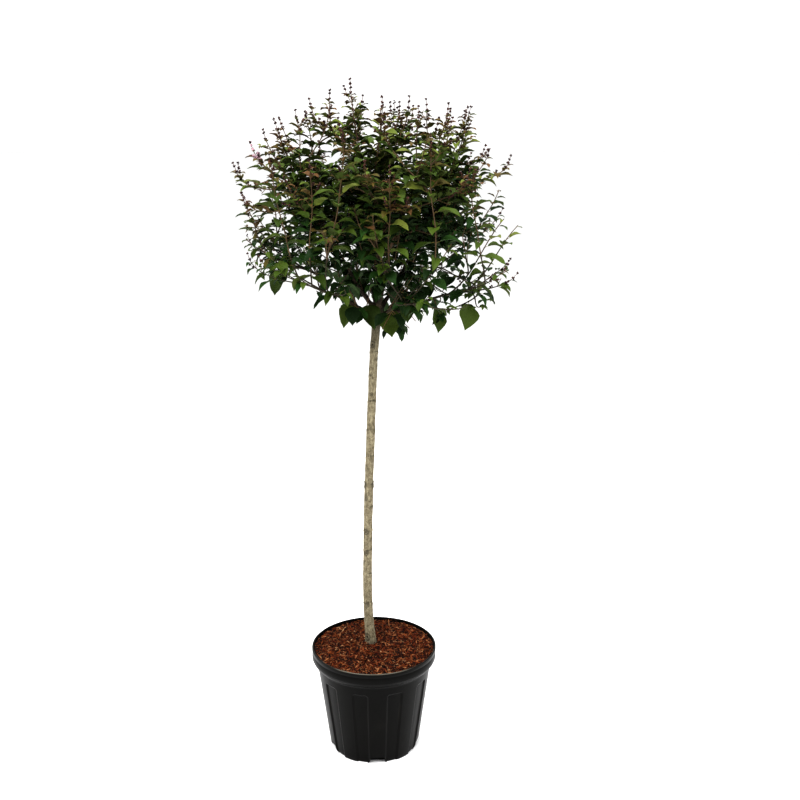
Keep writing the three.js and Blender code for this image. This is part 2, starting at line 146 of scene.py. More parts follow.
def bump_at(middle: float, width: float, values: Array) -> Array:
    """A rounded bump of height 1 round a value."""
    return np.exp(-(((values - middle) / width) ** 2))


def heading(compass: float, rise: float) -> Array:
    """A direction from its compass angle and its angle above level, both in radians."""
    flat = math.cos(rise)
    return np.array([flat * math.cos(compass), flat * math.sin(compass), math.sin(rise)])


def turned_about(vector: Array, axis: Array, angle: float) -> Array:
    """A vector turned about an axis of length one."""
    along = axis * float(np.dot(axis, vector)) * (1 - math.cos(angle))
    return vector * math.cos(angle) + np.cross(axis, vector) * math.sin(angle) + along


def rough(points: Array, scale: float, octaves: int, seed: float) -> Array:
    """A fractal relief from about -1 to 1 at each point.

    Args:
        points: Where the relief is read, one row each.
        scale: Waves per metre.
        octaves: How many finer layers are added.
        seed: Moves the pattern, so that two reliefs differ.

    Returns:
        One height for each point.
    """
    moved = points * scale + seed
    return np.array([noise.fractal(Vector(p), 1.0, 2.0, octaves) for p in moved])


class Seeded:
    """A repeatable source of numbers from 0 to 1, the one that the solids grow by."""

    FACTOR = 48271
    MODULUS = 2147483647
    SEED_STEP = 7919
    SKIPPED = 4

    def __init__(self, seed: int) -> None:
        """Starts the source a few numbers in, where those of near seeds differ."""
        self.state = (1 + seed * self.SEED_STEP) * self.FACTOR**self.SKIPPED % self.MODULUS

    def draw(self) -> float:
        """The next number."""
        self.state = self.state * self.FACTOR % self.MODULUS
        return self.state / self.MODULUS

    def between(self, low: float, high: float) -> float:
        """The next number, spread from low to high."""
        return mix(low, high, self.draw())

    def chance(self, share: float) -> bool:
        """Whether the next number falls in a share of all."""
        return self.draw() < share


@dataclass(frozen=True)
class Bezier:
    """A cubic curve by its four corners."""

    corners: Array

    def at(self, share: Array | float) -> Array:
        """The point or points at a share of the curve."""
        (a, b, c, d), t = self.corners, np.asarray(share, float)[..., None]
        return a * (1 - t) ** 3 + b * 3 * t * (1 - t) ** 2 + c * 3 * t * t * (1 - t) + d * t**3

    def heading_at(self, share: float) -> Array:
        """The direction of the curve at a share of it."""
        (a, b, c, d), t = self.corners, share
        return unit((b - a) * (1 - t) ** 2 + (c - b) * 2 * t * (1 - t) + (d - c) * t * t)


# ---------------------------------------- meshes


@dataclass
class Skin:
    """Points and faces gathered for one mesh, each face with the number of its finish."""

    points: list[Array] = field(default_factory=list)
    faces: list[Array] = field(default_factory=list)
    finishes: list[Array] = field(default_factory=list)
    count: int = 0

    def add(self, points: Array, *faces: Array, finish: int = 0) -> None:
        """Adds one body.

        Args:
            points: Its points, one row each.
            faces: Arrays of faces, each with three or four corners a row.
            finish: The number of the finish that all its faces take.
        """
        self.points.append(points)
        for block in faces:
            self.faces.append(block + self.count)
            self.finishes.append(np.full(len(block), finish))
        self.count += len(points)

    def add_copies(self, points: Array, faces: Array, finish: Array | int = 0) -> None:
        """Adds many bodies of one pattern.

        Args:
            points: Their points, by body, then by point.
            faces: The faces of one body.
            finish: The number of the finish of all faces, or of each face of each body.
        """
        bodies, size = points.shape[:2]
        starts = self.count + size * np.arange(bodies)
        self.points.append(points.reshape(-1, 3))
        self.faces.append((faces[None] + starts[:, None, None]).reshape(-1, faces.shape[1]))
        self.finishes.append(np.broadcast_to(finish, (bodies, len(faces))).reshape(-1))
        self.count += bodies * size

    def add_tube(self, path: Array, radii: Array, sides: int, finish: int = 0) -> None:
        """Adds a tube with closed ends, by the points along its middle and its radius at each."""
        rings = round_rings(path, radii, sides)
        self.add(rings.reshape(-1, 3), *tube_faces(len(path), sides), finish=finish)

    def mesh(self, name: str) -> bpy.types.Mesh:
        """Makes the mesh.

        Args:
            name: Its name.

        Returns:
            The new mesh.
        """
        mesh = bpy.data.meshes.new(name)
        corners = [row for block in self.faces for row in block.tolist()]
        mesh.from_pydata(np.concatenate(self.points).tolist(), [], corners)
        mesh.polygons.foreach_set("material_index", np.concatenate(self.finishes).astype(np.int32))
        return mesh


def placed(name: str, data: bpy.types.ID) -> bpy.types.Object:
    """Puts a new object into the scene.

    Args:
        name: Its name.
        data: Its mesh, camera or lamp.

    Returns:
        The object.
    """
    made = bpy.data.objects.new(name, data)
    bpy.context.scene.collection.objects.link(made)
    return made


def as_piece(mesh: bpy.types.Mesh, slot: Slot, finishes: Sequence[bpy.types.Material],
             crease: float, replaces: Sequence[str] = ()) -> bpy.types.Object:
    """Dresses a mesh and lets it ride on the plant.

    Args:
        mesh: The mesh, whose name the piece takes.
        slot: The record's slot; not used.
        finishes: Its finishes, by the numbers that its faces hold.
        crease: The angle between faces, in radians, above which an edge is sharp.
        replaces: The solids that it stands for.

    Returns:
        The new object.
    """
    if mesh.materials:
        mesh.materials.clear()
    for finish in finishes:
        mesh.materials.append(finish)
    mesh.shade_smooth()
    mesh.set_sharp_from_angle(angle=crease)
    mesh.update()
    piece = placed(mesh.name, mesh)
    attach(piece, BODY)
    if replaces:
        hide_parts(*replaces)
    log.info("%s: %d faces", piece.name, len(mesh.polygons))
    return piece


def ring_faces(rings: int, sides: int) -> Array:
    """The four-cornered faces between rings of points.

    Args:
        rings: How many rings there are.
        sides: How many points there are in a ring.

    Returns:
        The faces, one row each.
    """
    across = np.arange(sides)
    beside = (across + 1) % sides
    starts = (np.arange(rings - 1) * sides)[:, None]
    grid = [starts + across, starts + beside, starts + sides + beside, starts + sides + across]
    return np.stack(grid, axis=-1).reshape(-1, 4)


def fan_faces(start: int, sides: int, middle: int) -> Array:
    """The triangles between a ring, from its first point's number, and the point in its middle."""
    around = np.arange(sides)
    return np.stack([start + around, start + (around + 1) % sides, np.full(sides, middle)], axis=1)


def tube_faces(rings: int, sides: int) -> list[Array]:
    """The faces of a tube with closed ends.

    Args:
        rings: How many rings of points it has.
        sides: How many points there are in a ring.

    Returns:
        The faces of its sides, its foot and its tip.
    """
    first, last = np.arange(1, sides - 1), (rings - 1) * sides
    foot = np.stack([0 * first, first + 1, first], axis=1)
    tip = np.stack([0 * first, first, first + 1], axis=1) + last
    return [ring_faces(rings, sides), foot, tip]


def round_rings(path: Array, radii: Array, sides: int) -> Array:
    """The rings of a limb of round section, without twist.

    Args:
        path: The points along its middle.
        radii: Its radius at each point.
        sides: How many points a ring has.

    Returns:
        The points, by ring, then by side.
    """
    along = unit(np.gradient(path, axis=0))
    side = np.array([1.0, 0.2, 0.1])
    turns = 2 * np.pi * np.arange(sides) / sides
    rings = []
    for point, tangent, radius in zip(path, along, radii):
        side = unit(side - tangent * np.dot(side, tangent))
        across = np.cross(tangent, side)
        ring = np.cos(turns)[:, None] * side + np.sin(turns)[:, None] * across
        rings.append(point + ring * radius)
    return np.array(rings)


def hold_number(piece: bpy.types.Object, name: str, values: Array) -> None:
    """Stores a number at each point of a piece's mesh, for its finish to read."""
    store = piece.data.attributes.new(name, "FLOAT", "POINT")
    store.data.foreach_set("value", np.asarray(values, np.float32))


# ---------------------------------------- finishes


def colour(*screen: float) -> Colour:
    """A colour as light, from its screen values of 0 to 255."""
    shares = [value / 255 for value in screen]
    return tuple(s / 12.92 if s <= 0.04045 else ((s + 0.055) / 1.055) ** 2.4 for s in shares)


class Recipe:
    """The node tree of one finish while it is put together."""

    def __init__(self, name: str) -> None:
        """Starts a material that holds one plain shader.

        Args:
            name: The material's name.
        """
        self.material = bpy.data.materials.new(name)
        self.material.use_nodes = True
        self.tree = self.material.node_tree
        self.shader = self.tree.nodes["Principled BSDF"]

    def put(self, node: bpy.types.Node, values: dict[str, object]) -> None:
        """Sets a node's sockets.

        Args:
            node: The node.
            values: A value, or the socket to link, by each socket's name with _ for a space.
        """
        for name, value in values.items():
            socket = node.inputs[name.replace("_", " ")]
            if isinstance(value, Socket):
                self.tree.links.new(value, socket)
            else:
                socket.default_value = value

    def shade(self, **values: object) -> None:
        """Sets the shader's own sockets."""
        self.put(self.shader, values)

    def node(self, kind: str, **values: object) -> bpy.types.Node:
        """Adds a node.

        Args:
            kind: Its type, without the words that start them all.
            values: What its sockets are set to.

        Returns:
            The node.
        """
        node = self.tree.nodes.new(f"ShaderNode{kind}")
        self.put(node, values)
        return node

    def place(self, squeeze: float = 1) -> Socket:
        """The place on the plant, with its height squeezed so that a pattern runs up and down."""
        here = self.node("TexCoord").outputs["Object"]
        return self.node("Mapping", Vector=here, Scale=(1, 1, squeeze)).outputs["Vector"]

    def clouds(self, scale: float, detail: float, roughness: float = 0.55, squeeze: float = 1
               ) -> Socket:
        """Clouds from 0 to 1, by waves per metre, number of finer layers and those layers' strength."""
        return self.node("TexNoise", Vector=self.place(squeeze), Scale=scale, Detail=detail,
                         Roughness=roughness).outputs["Fac"]

    def cells(self, scale: float) -> Socket:
        """A pattern of cells: the distance from the middle of the nearest."""
        return self.node("TexVoronoi", Vector=self.place(), Scale=scale).outputs["Distance"]

    def attribute(self, name: str) -> Socket:
        """A number that each point of the mesh holds.

        Args:
            name: The number's name.

        Returns:
            The number.
        """
        reader = self.node("Attribute")
        reader.attribute_name = name
        return reader.outputs["Fac"]

    def blend(self, share: Socket, stops: Sequence[tuple[float, Colour]]) -> Socket:
        """Colours along a value.

        Args:
            share: The value, from 0 to 1.
            stops: Where each colour stands.

        Returns:
            The colour.
        """
        ramp = self.node("ValToRGB", Fac=share)
        elements = ramp.color_ramp.elements
        while len(elements) < len(stops):
            elements.new(0.5)
        for element, (place, tone) in zip(elements, stops):
            element.position, element.color = place, (*tone, 1)
        return ramp.outputs["Color"]

    def spread(self, value: Socket, low: float, high: float) -> Socket:
        """A value from 0 to 1 spread from low to high."""
        return self.node("MapRange", Value=value, To_Min=low, To_Max=high).outputs["Result"]

    def darken(self, tone: Socket, share: Socket) -> Socket:
        """A colour times a value.

        Args:
            tone: The colour.
            share: The value, or another colour.

        Returns:
            Their product.
        """
        product = self.node("Mix", Factor=1)
        product.data_type, product.blend_type = "RGBA", "MULTIPLY"
        colours = [socket for socket in product.inputs if socket.type == "RGBA"]
        for value, socket in zip((tone, share), colours):
            self.tree.links.new(value, socket)
        return next(socket for socket in product.outputs if socket.type == "RGBA")

    def relief(self, *layers: tuple[Socket, float, float]) -> None:
        """Raises the surface.

        Args:
            layers: For each layer its height, its strength and its depth in metres.
        """
        below: dict[str, object] = {}
        for height, strength, depth in layers:
            bump = self.node("Bump", Height=height, Strength=strength, Distance=depth, **below)
            below = {"Normal": bump.outputs["Normal"]}
        self.put(self.shader, below)


@dataclass(frozen=True)
class LivingFinish:
    """The plain colour and fine grain of leaves, young twigs and buds."""

    name: str
    tone: Colour
    gloss: float = 0.5
    grain: float = 450.0
    depth: float = 0.0003
    shine: float = 0.09

    def build(self) -> bpy.types.Material:
        """The finish as a material.

        Returns:
            The material.
        """
        recipe = Recipe(self.name)
        recipe.shade(Base_Color=(*self.tone, 1), Roughness=1 - self.gloss,
                     Specular_IOR_Level=self.shine)
        recipe.relief((recipe.clouds(self.grain, 2), 0.5, self.depth))
        return recipe.material


@dataclass(frozen=True)
class PlasticFinish:
    """Moulded black plastic, a little dusty, with painted highlights where the mesh's number says."""

    name: str = "black_pot_plastic"
    dark: Colour = colour(6, 5.4, 4.4)
    pale: Colour = colour(9, 8.4, 7)
    dust: Colour = colour(19, 17.5, 14.5)

    def build(self) -> bpy.types.Material:
        """The finish as a material.

        Returns:
            The material.
        """
        recipe = Recipe(self.name)
        clouds = recipe.clouds(14, 5, 0.6)
        streaks = recipe.clouds(60, 4, 0.6, 0.12)
        grain = recipe.clouds(900, 2)
        tone = recipe.blend(clouds, [(0.3, self.dark), (0.6, self.pale), (0.82, self.dust)])
        # The mesh's number lifts the plastic's colour up to 75 times: painted highlights on the ribs'
        # edges and the lip.
        times = [(0.05, (1, 1, 1)), (0.4, (6, 6, 5.6)), (1, (75, 75, 72))]
        highlight_gain = recipe.blend(recipe.attribute("painted_highlight"), times)
        recipe.shade(Base_Color=recipe.darken(tone, highlight_gain), Roughness=recipe.spread(streaks, 0.3, 0.38),
                     Specular_IOR_Level=0.075)
        recipe.relief((grain, 0.25, 0.0002), (streaks, 0.1, 0.0003))
        return recipe.material


@dataclass(frozen=True)
class BarkFinish:
    """Bark in patches of three tones, times the mesh's shade number: its scars, joints and lenticels,
    and painted shade in its hollows and under the head.
    """

    name: str
    dark: Colour
    middle: Colour
    pale: Colour
    patches: float = 130.0
    flecks: float = 330.0

    def build(self) -> bpy.types.Material:
        """The finish as a material.

        Returns:
            The material.
        """
        recipe = Recipe(self.name)
        patches = recipe.clouds(self.patches, 8, 0.72, 0.7)
        fibres = recipe.clouds(420, 5, 0.65, 0.16)
        flecks = recipe.clouds(self.flecks, 3, 0.6, 0.7)
        stops = [(0.34, self.dark), (0.48, self.middle), (0.62, self.pale)]
        tone = recipe.darken(recipe.blend(patches, stops), recipe.attribute("shade"))
        times = [(0.36, (0.5, 0.46, 0.4)), (0.45, (1, 1, 1)), (0.66, (1.15, 1.15, 1.12))]
        tone = recipe.darken(tone, recipe.blend(flecks, times))
        recipe.shade(Base_Color=tone, Roughness=recipe.spread(fibres, 0.72, 0.95),
                     Specular_IOR_Level=0.25)
        recipe.relief((fibres, 0.55, 0.0009), (recipe.clouds(1500, 2), 0.2, 0.0002))
        return recipe.material


@dataclass(frozen=True)
class EarthFinish:
    """Damp earth or the shade between shreds: crumbs of three tones."""

    name: str
    dark: Colour
    middle: Colour
    pale: Colour
    crumb: float = 260.0

    def build(self) -> bpy.types.Material:
        """The finish as a material.

        Returns:
            The material.
        """
        recipe = Recipe(self.name)
        crumbs = recipe.cells(self.crumb)
        clouds = recipe.clouds(self.crumb * 0.5, 6, 0.7)
        stops = [(0.3, self.dark), (0.52, self.middle), (0.72, self.pale)]
        recipe.shade(Base_Color=recipe.blend(clouds, stops), Roughness=recipe.spread(crumbs, 0.8, 1),
                     Specular_IOR_Level=0.2)
        recipe.relief((crumbs, 0.7, 0.002), (clouds, 0.6, 0.0015))
        return recipe.material


@dataclass(frozen=True)
class ChipFinish:
    """One tone of torn bark, with the grain of its fibres."""

    name: str
    tone: Colour

    def build(self) -> bpy.types.Material:
        """The finish as a material.

        Returns:
            The material.
        """
        recipe = Recipe(self.name)
        recipe.shade(Base_Color=(*self.tone, 1), Roughness=0.82, Specular_IOR_Level=0.12)
        recipe.relief((recipe.clouds(700, 4, 0.7), 0.6, 0.0006))
        return recipe.material


# ---------------------------------------- pot, soil and mulch


@dataclass
class Pot:
    """The growing pot: a thin tapered shell with sunk panels, a rolled lip and drain notches."""

    height: float = 0.269
    base_radius: float = 0.112
    collar_radius: float = 0.1425
    rim_radius: float = 0.156
    panel_top: float = 0.2045
    collar_top: float = 0.222
    lip_bottom: float = 0.240
    wall: float = 0.0025
    rim_thickness: float = 0.0045
    floor: float = 0.004
    foot_round: float = 0.003
    ribs: int = 10
    rib_width: float = math.radians(18)
    rib_depth: float = 0.0035
    rib_first: float = math.radians(-85)
    panel_round: float = 0.009
    panel_edge: float = 0.0056
    notches: int = 5
    notch_width: float = 0.042
    notch_splay: float = 0.0045
    notch_height: float = 0.0165
    notch_depth: float = 0.019
    notch_corner: float = 0.0015
    groove: tuple[Pair, ...] = (
        (0, 0.2475), (0.0002, 0.2555), (0.0009, 0.2568), (0.0009, 0.2584), (0, 0.2598))
    columns: int = 900

    def wall_radius(self, height: Array | float) -> Array | float:
        """The radius over the ribs at a height below the collar."""
        return self.base_radius + (self.collar_radius - self.base_radius) * height / self.collar_top

    def outside(self) -> list[Pair]:
        """The outer profile.

        Returns:
            Radius and height from the foot to the crown of the lip.
        """
        lower = [(self.wall_radius(z), z) for z in
                 [*np.linspace(self.foot_round, 0.18, 22), *np.linspace(0.183, 0.2, 8),
                  *np.linspace(0.201, 0.2115, 12), 0.216, self.collar_top - 0.002]]
        foot = [(self.base_radius - self.foot_round * (1 - math.sin(a)),
                 self.foot_round * (1 - math.cos(a))) for a in np.linspace(0, math.pi / 2, 5)[:-1]]
        rise = self.lip_bottom - self.collar_top
        swell = [(mix(self.collar_radius, self.rim_radius - 0.0012, step_at(0, 1, s)),
                  self.collar_top + rise * s) for s in np.linspace(0.02, 0.97, 9)]
        band = [(self.rim_radius - sunk, z) for sunk, z in (
            (0.0006, self.lip_bottom + 0.0006), (0, self.lip_bottom + 0.002), *self.groove)]
        bead = self.rim_thickness / 2
        middle = (self.rim_radius - bead, self.height - bead)
        roll = [(middle[0] + bead * math.cos(a), middle[1] + bead * math.sin(a))
                for a in np.linspace(0, math.pi, 13)]
        return foot + lower + swell + band + roll

    def inside(self) -> list[Pair]:
        """The inner profile.

        Returns:
            Radius and height from under the lip down to the edge of the floor.
        """
        skin = self.wall + self.rib_depth
        lip = self.rim_radius - self.rim_thickness
        lower = [(self.wall_radius(z) - skin, z)
                 for z in np.linspace(self.collar_top, self.floor + 0.002, 8)]
        return [(lip, 0.262), (lip, 0.25), (lip, self.lip_bottom), *lower,
                (self.wall_radius(self.floor) - skin - 0.002, self.floor)]

    def panel_share(self, angle: Array, height: Array, edge: float) -> Array:
        """How far a place is sunk in a panel between two ribs.

        Args:
            angle: The compass angles.
            height: The heights.
            edge: The width of the slope between rib and panel.

        Returns:
            Shares from 0 on the ribs to 1 in the panels.
        """
        pitch = 2 * math.pi / self.ribs
        from_rib = np.abs((angle - self.rib_first + pitch / 2) % pitch - pitch / 2)
        from_middle = (pitch / 2 - from_rib) * self.wall_radius(height)
        half = (pitch - self.rib_width) / 2 * self.wall_radius(height)
        over_side = from_middle - (half - self.panel_round)
        over_top = height - (self.panel_top - self.panel_round)
        corner = np.hypot(np.maximum(over_side, 0), np.maximum(over_top, 0))
        reach = corner + np.minimum(np.maximum(over_side, over_top), 0) - self.panel_round
        return 1 - smooth_step(-edge, 0, reach)

    def shell(self) -> Skin:
        """The whole shell before its drain notches are cut.

        Returns:
            The closed body.
        """
        profile = np.array(self.outside() + self.inside())
        angles = 2 * np.pi * np.arange(self.columns) / self.columns
        radius, height = (np.repeat(profile[:, [k]], self.columns, axis=1) for k in (0, 1))
        outer = (np.arange(len(profile)) < len(self.outside()))[:, None]
        sunk = self.panel_share(np.broadcast_to(angles, radius.shape), height, self.panel_edge)
        radius = radius - np.where(outer & (height < self.collar_top), sunk * self.rib_depth, 0)
        rings = np.stack([radius * np.cos(angles), radius * np.sin(angles), height], axis=-1)
        points = np.concatenate([rings.reshape(-1, 3), [[0, 0, self.floor], [0, 0, 0]]])
        inmost = (len(profile) - 1) * self.columns
        floor = fan_faces(inmost, self.columns, len(points) - 2)
        under = fan_faces(0, self.columns, len(points) - 1)[:, [1, 0, 2]]
        skin = Skin()
        skin.add(points, ring_faces(len(profile), self.columns), floor, under)
        return skin

    def notched(self, grow: float) -> Skin:
        """The spaces of the drain notches, with sloping sides.

        Args:
            grow: How much larger they are made on every side but the outer one.

        Returns:
            The closed bodies.
        """
        outer, inner = self.base_radius + 0.004, self.base_radius + 0.002 - self.notch_depth - grow
        if grow:
            outer = self.base_radius - self.rib_depth - self.wall / 2
        foot, top, corner = -0.001, self.notch_height + grow, self.notch_corner
        low, high = self.notch_width / 2 + grow, self.notch_width / 2 + grow - self.notch_splay
        section = [(-low, foot), (low, foot), (high, top - corner), (high - corner, top),
                   (-high + corner, top), (-high, top - corner)]
        if grow:
            section = [(across, max(z, 0.0)) for across, z in section]
        points = np.array([(r, across, z) for r in (outer, inner) for across, z in section])
        faces = [block[:, ::-1] for block in tube_faces(2, len(section))]
        skin = Skin()
        for k in range(self.notches):
            out = heading(self.rib_first + k * 2 * math.pi / self.notches, 0.0)
            skin.add(points @ np.array([out, np.cross(UP, out), UP]), *faces)
        return skin

    def build(self) -> None:
        """Makes the pot and dresses it."""
        forms = {"shell": self.shell(), "pockets": self.notched(self.wall), "notches": self.notched(0)}
        shell, *tools = [placed(name, skin.mesh(name)) for name, skin in forms.items()]
        for operation, tool in zip(("UNION", "DIFFERENCE"), tools):
            cut = shell.modifiers.new(operation, "BOOLEAN")
            cut.operation, cut.object, cut.solver = operation, tool, "MANIFOLD"
        view = bpy.context.evaluated_depsgraph_get()
        mesh = bpy.data.meshes.new_from_object(shell.evaluated_get(view))
        for scrap in (shell, *tools):
            bpy.data.objects.remove(scrap)
        mesh.name = "pot_moulding"
        piece = as_piece(mesh, Slot.POT, [PlasticFinish().build()], 0.7, ["pot"])
        hold_number(piece, "painted_highlight", self.painted_highlight(np.array([vert.co[:] for vert in mesh.vertices])))

    def painted_highlight(self, points: Array) -> Array:
        """How far painted highlights lighten the pot: along the ribs' edges, and along the crown of the
        lip, most at the front.

        Args:
            points: Its points, one row each.

        Returns:
            A share for each point, from 0 where no highlight is painted.
        """
        x, y, z = points.T
        radius = np.hypot(x, y)
        sunk = self.panel_share(np.arctan2(y, x), z, 2 * self.panel_edge)
        outer = (z < self.collar_top) & (radius > self.wall_radius(z) - self.rib_depth - 0.0004)
        inner_edge = self.rim_radius - self.rim_thickness
        # A painted highlight along the crown of the lip, strongest at the front.
        crown = smooth_step(self.height - 0.0024, self.height - 0.0008, z)
        crown = crown * (radius > inner_edge + 0.0005) * (0.2 + 0.5 * smooth_step(-0.1, -0.148, y))
        # Painted highlights along the ribs' edges, fading low down and towards the panels' tops.
        fade = smooth_step(self.panel_top - 0.004, self.panel_top - 0.06, z)
        fade = fade * (0.2 + 0.8 * smooth_step(0.06, 0.17, z))
        fade = fade * np.clip(0.55 + 0.9 * rough(np.stack([x, y, 0.3 * z], axis=1), 14, 2, 3.0), 0, 1)
        return np.where(outer, 1.35 * sunk * (1 - sunk) * fade, 0) + crown


@dataclass
class Mulch:
    """Shredded bark, heaped a little round the stem."""

    bottom: float = 0.2503
    radius: float = 0.1512
    at_wall: float = 0.2612
    top: float = 0.2655
    flat_radius: float = 0.052
    stem: Pair = (-0.009, 0.022)
    stem_room: float = 0.0165
    ground: float = 0.0016
    uneven: float = 0.0014
    shreds: int = 8200
    shortest: float = 0.0035
    longer: float = 0.0115
    widths: Pair = (0.0009, 0.0028)
    rings: int = 60
    columns: int = 180
    tones: tuple[tuple[str, Colour, float], ...] = (
        ("umber", colour(37, 11, 3), 0.29), ("rust", colour(85, 35, 12), 0.33),
        ("chestnut", colour(113, 60, 28), 0.24), ("tan", colour(140, 94, 60), 0.11),
        ("straw", colour(160, 124, 90), 0.03))

    def height_at(self, x: Array, y: Array) -> Array:
        """The height of the heap without its unevenness."""
        fall = smooth_step(self.flat_radius, self.radius, np.hypot(x, y))
        return self.top + (self.at_wall - self.top) * fall

    def bed(self) -> None:
        """Makes the uneven ground that the shreds lie on, dark as painted shade between them."""
        radii = np.linspace(0.0, self.radius, self.rings)[1:]
        angles = 2 * np.pi * np.arange(self.columns) / self.columns
        x, y = radii[:, None] * np.cos(angles), radii[:, None] * np.sin(angles)
        flat = np.stack([x, y, 0 * x], axis=-1).reshape(-1, 3)
        z = self.height_at(x, y).reshape(-1) - self.ground + self.uneven * rough(flat, 190, 3, 4.0)
        top = flat + UP * z[:, None]
        skirt = top[-self.columns:] * [1, 1, 0] + UP * self.bottom
        points = np.concatenate([top, skirt, [[0, 0, self.top - self.ground], [0, 0, self.bottom]]])
        low = (self.rings - 1) * self.columns
        middle = fan_faces(0, self.columns, len(points) - 2)[:, ::-1]
        under = fan_faces(low, self.columns, len(points) - 1)[:, [1, 0, 2]]
        skin = Skin()
        skin.add(points, ring_faces(self.rings, self.columns)[:, ::-1], middle, under)
        # Its dark tones paint the shade between the shreds.
        ground = EarthFinish("mulch_shade", colour(12, 4, 2), colour(28, 11, 5), colour(48, 21, 9))
        as_piece(skin.mesh("mulch_bed"), Slot.MULCH, [ground.build()], 1.2, ["mulch"])

    def strips(self) -> tuple[Array, Array]:
        """The shreds: bent strips with torn ends that lie this way and that.

        Returns:
            Their points, by shred, and the tone of each.
        """
        source = np.random.default_rng(11)
        radius = (self.radius - 0.003) * np.sqrt(source.random(self.shreds))
        compass = source.random(self.shreds) * 2 * np.pi
        x, y = radius * np.cos(compass), radius * np.sin(compass)
        keep = np.hypot(x - self.stem[0], y - self.stem[1]) > self.stem_room
        x, y, radius = x[keep], y[keep], radius[keep]
        count = len(x)
        length = self.shortest + self.longer * source.random(count) ** 2.8
        width = np.clip(length * (0.12 + 0.2 * source.random(count)), *self.widths)
        yaw = source.random(count) * 2 * np.pi
        near_wall = np.clip((radius - (self.radius - 0.012)) / 0.01, 0, 1)
        yaw = np.where(near_wall > source.random(count), np.arctan2(y, x) + np.pi / 2, yaw)
        pitch = source.normal(0, 0.3, count)
        along = np.stack([np.cos(yaw) * np.cos(pitch), np.sin(yaw) * np.cos(pitch),
                          np.sin(pitch)], axis=-1)
        roll = source.normal(0, 0.5, count)[:, None]
        side = unit(np.cross(UP, along))
        over = np.cross(along, side)
        side, over = (side * np.cos(roll) + over * np.sin(roll),
                      over * np.cos(roll) - side * np.sin(roll))
        lift = np.abs(np.sin(pitch)) * length * 0.4 + 0.0036 * source.random(count) ** 1.5
        middle = np.stack([x, y, self.height_at(x, y) - 0.0008 + lift], axis=-1)
        bend = source.normal(0, 0.16, count) * length
        thick = width * (0.25 + 0.4 * source.random(count))
        points = []
        for share, broad in ((-0.5, 0.45), (0.05, 1.0), (0.5, 0.35)):
            centre = middle + along * (share * length)[:, None]
            centre = centre + over * ((0.25 - share * share) * bend)[:, None] * 2
            for across, deep in ((-0.5, -0.5), (0.5, -0.5), (0.5, 0.5), (-0.5, 0.5)):
                points.append(centre + side * (across * broad * width)[:, None]
                              + over * (deep * broad * thick)[:, None])
        limits = np.cumsum([share for _, _, share in self.tones])
        tone = np.searchsorted(limits, source.random(count) * limits[-1])
        return np.stack(points, axis=1), tone

    def build(self) -> None:
        """Makes the bed and the shreds, each tone of shred apart."""
        self.bed()
        points, numbers = self.strips()
        faces = np.concatenate([ring_faces(3, 4), [(3, 2, 1, 0), (8, 9, 10, 11)]])
        for number, (name, tone, _) in enumerate(self.tones):
            skin = Skin()
            skin.add_copies(points[numbers == number], faces)
            chips = ChipFinish(f"bark_shred_{name}", tone)
            as_piece(skin.mesh(f"mulch_shreds_{name}"), Slot.MULCH, [chips.build()], 0.9)


@dataclass
class Soil:
    """The compost under the mulch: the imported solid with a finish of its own."""

    node: str = "soil"

    def build(self) -> None:
        """Dresses the solid."""
        earth = EarthFinish("potting_soil", colour(18, 11, 7), colour(38, 25, 17), colour(70, 50, 36),
                            180)
        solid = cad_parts[self.node]
        solid.data.materials.clear()
        solid.data.materials.append(earth.build())
        log.info("%s: dressed", self.node)


# ---------------------------------------- trunk and boughs


@dataclass(frozen=True)
class Scar:
    """A closed wound or a knot on the bark, by its height, compass angle and radius."""

    height: float
    compass: float
    radius: float


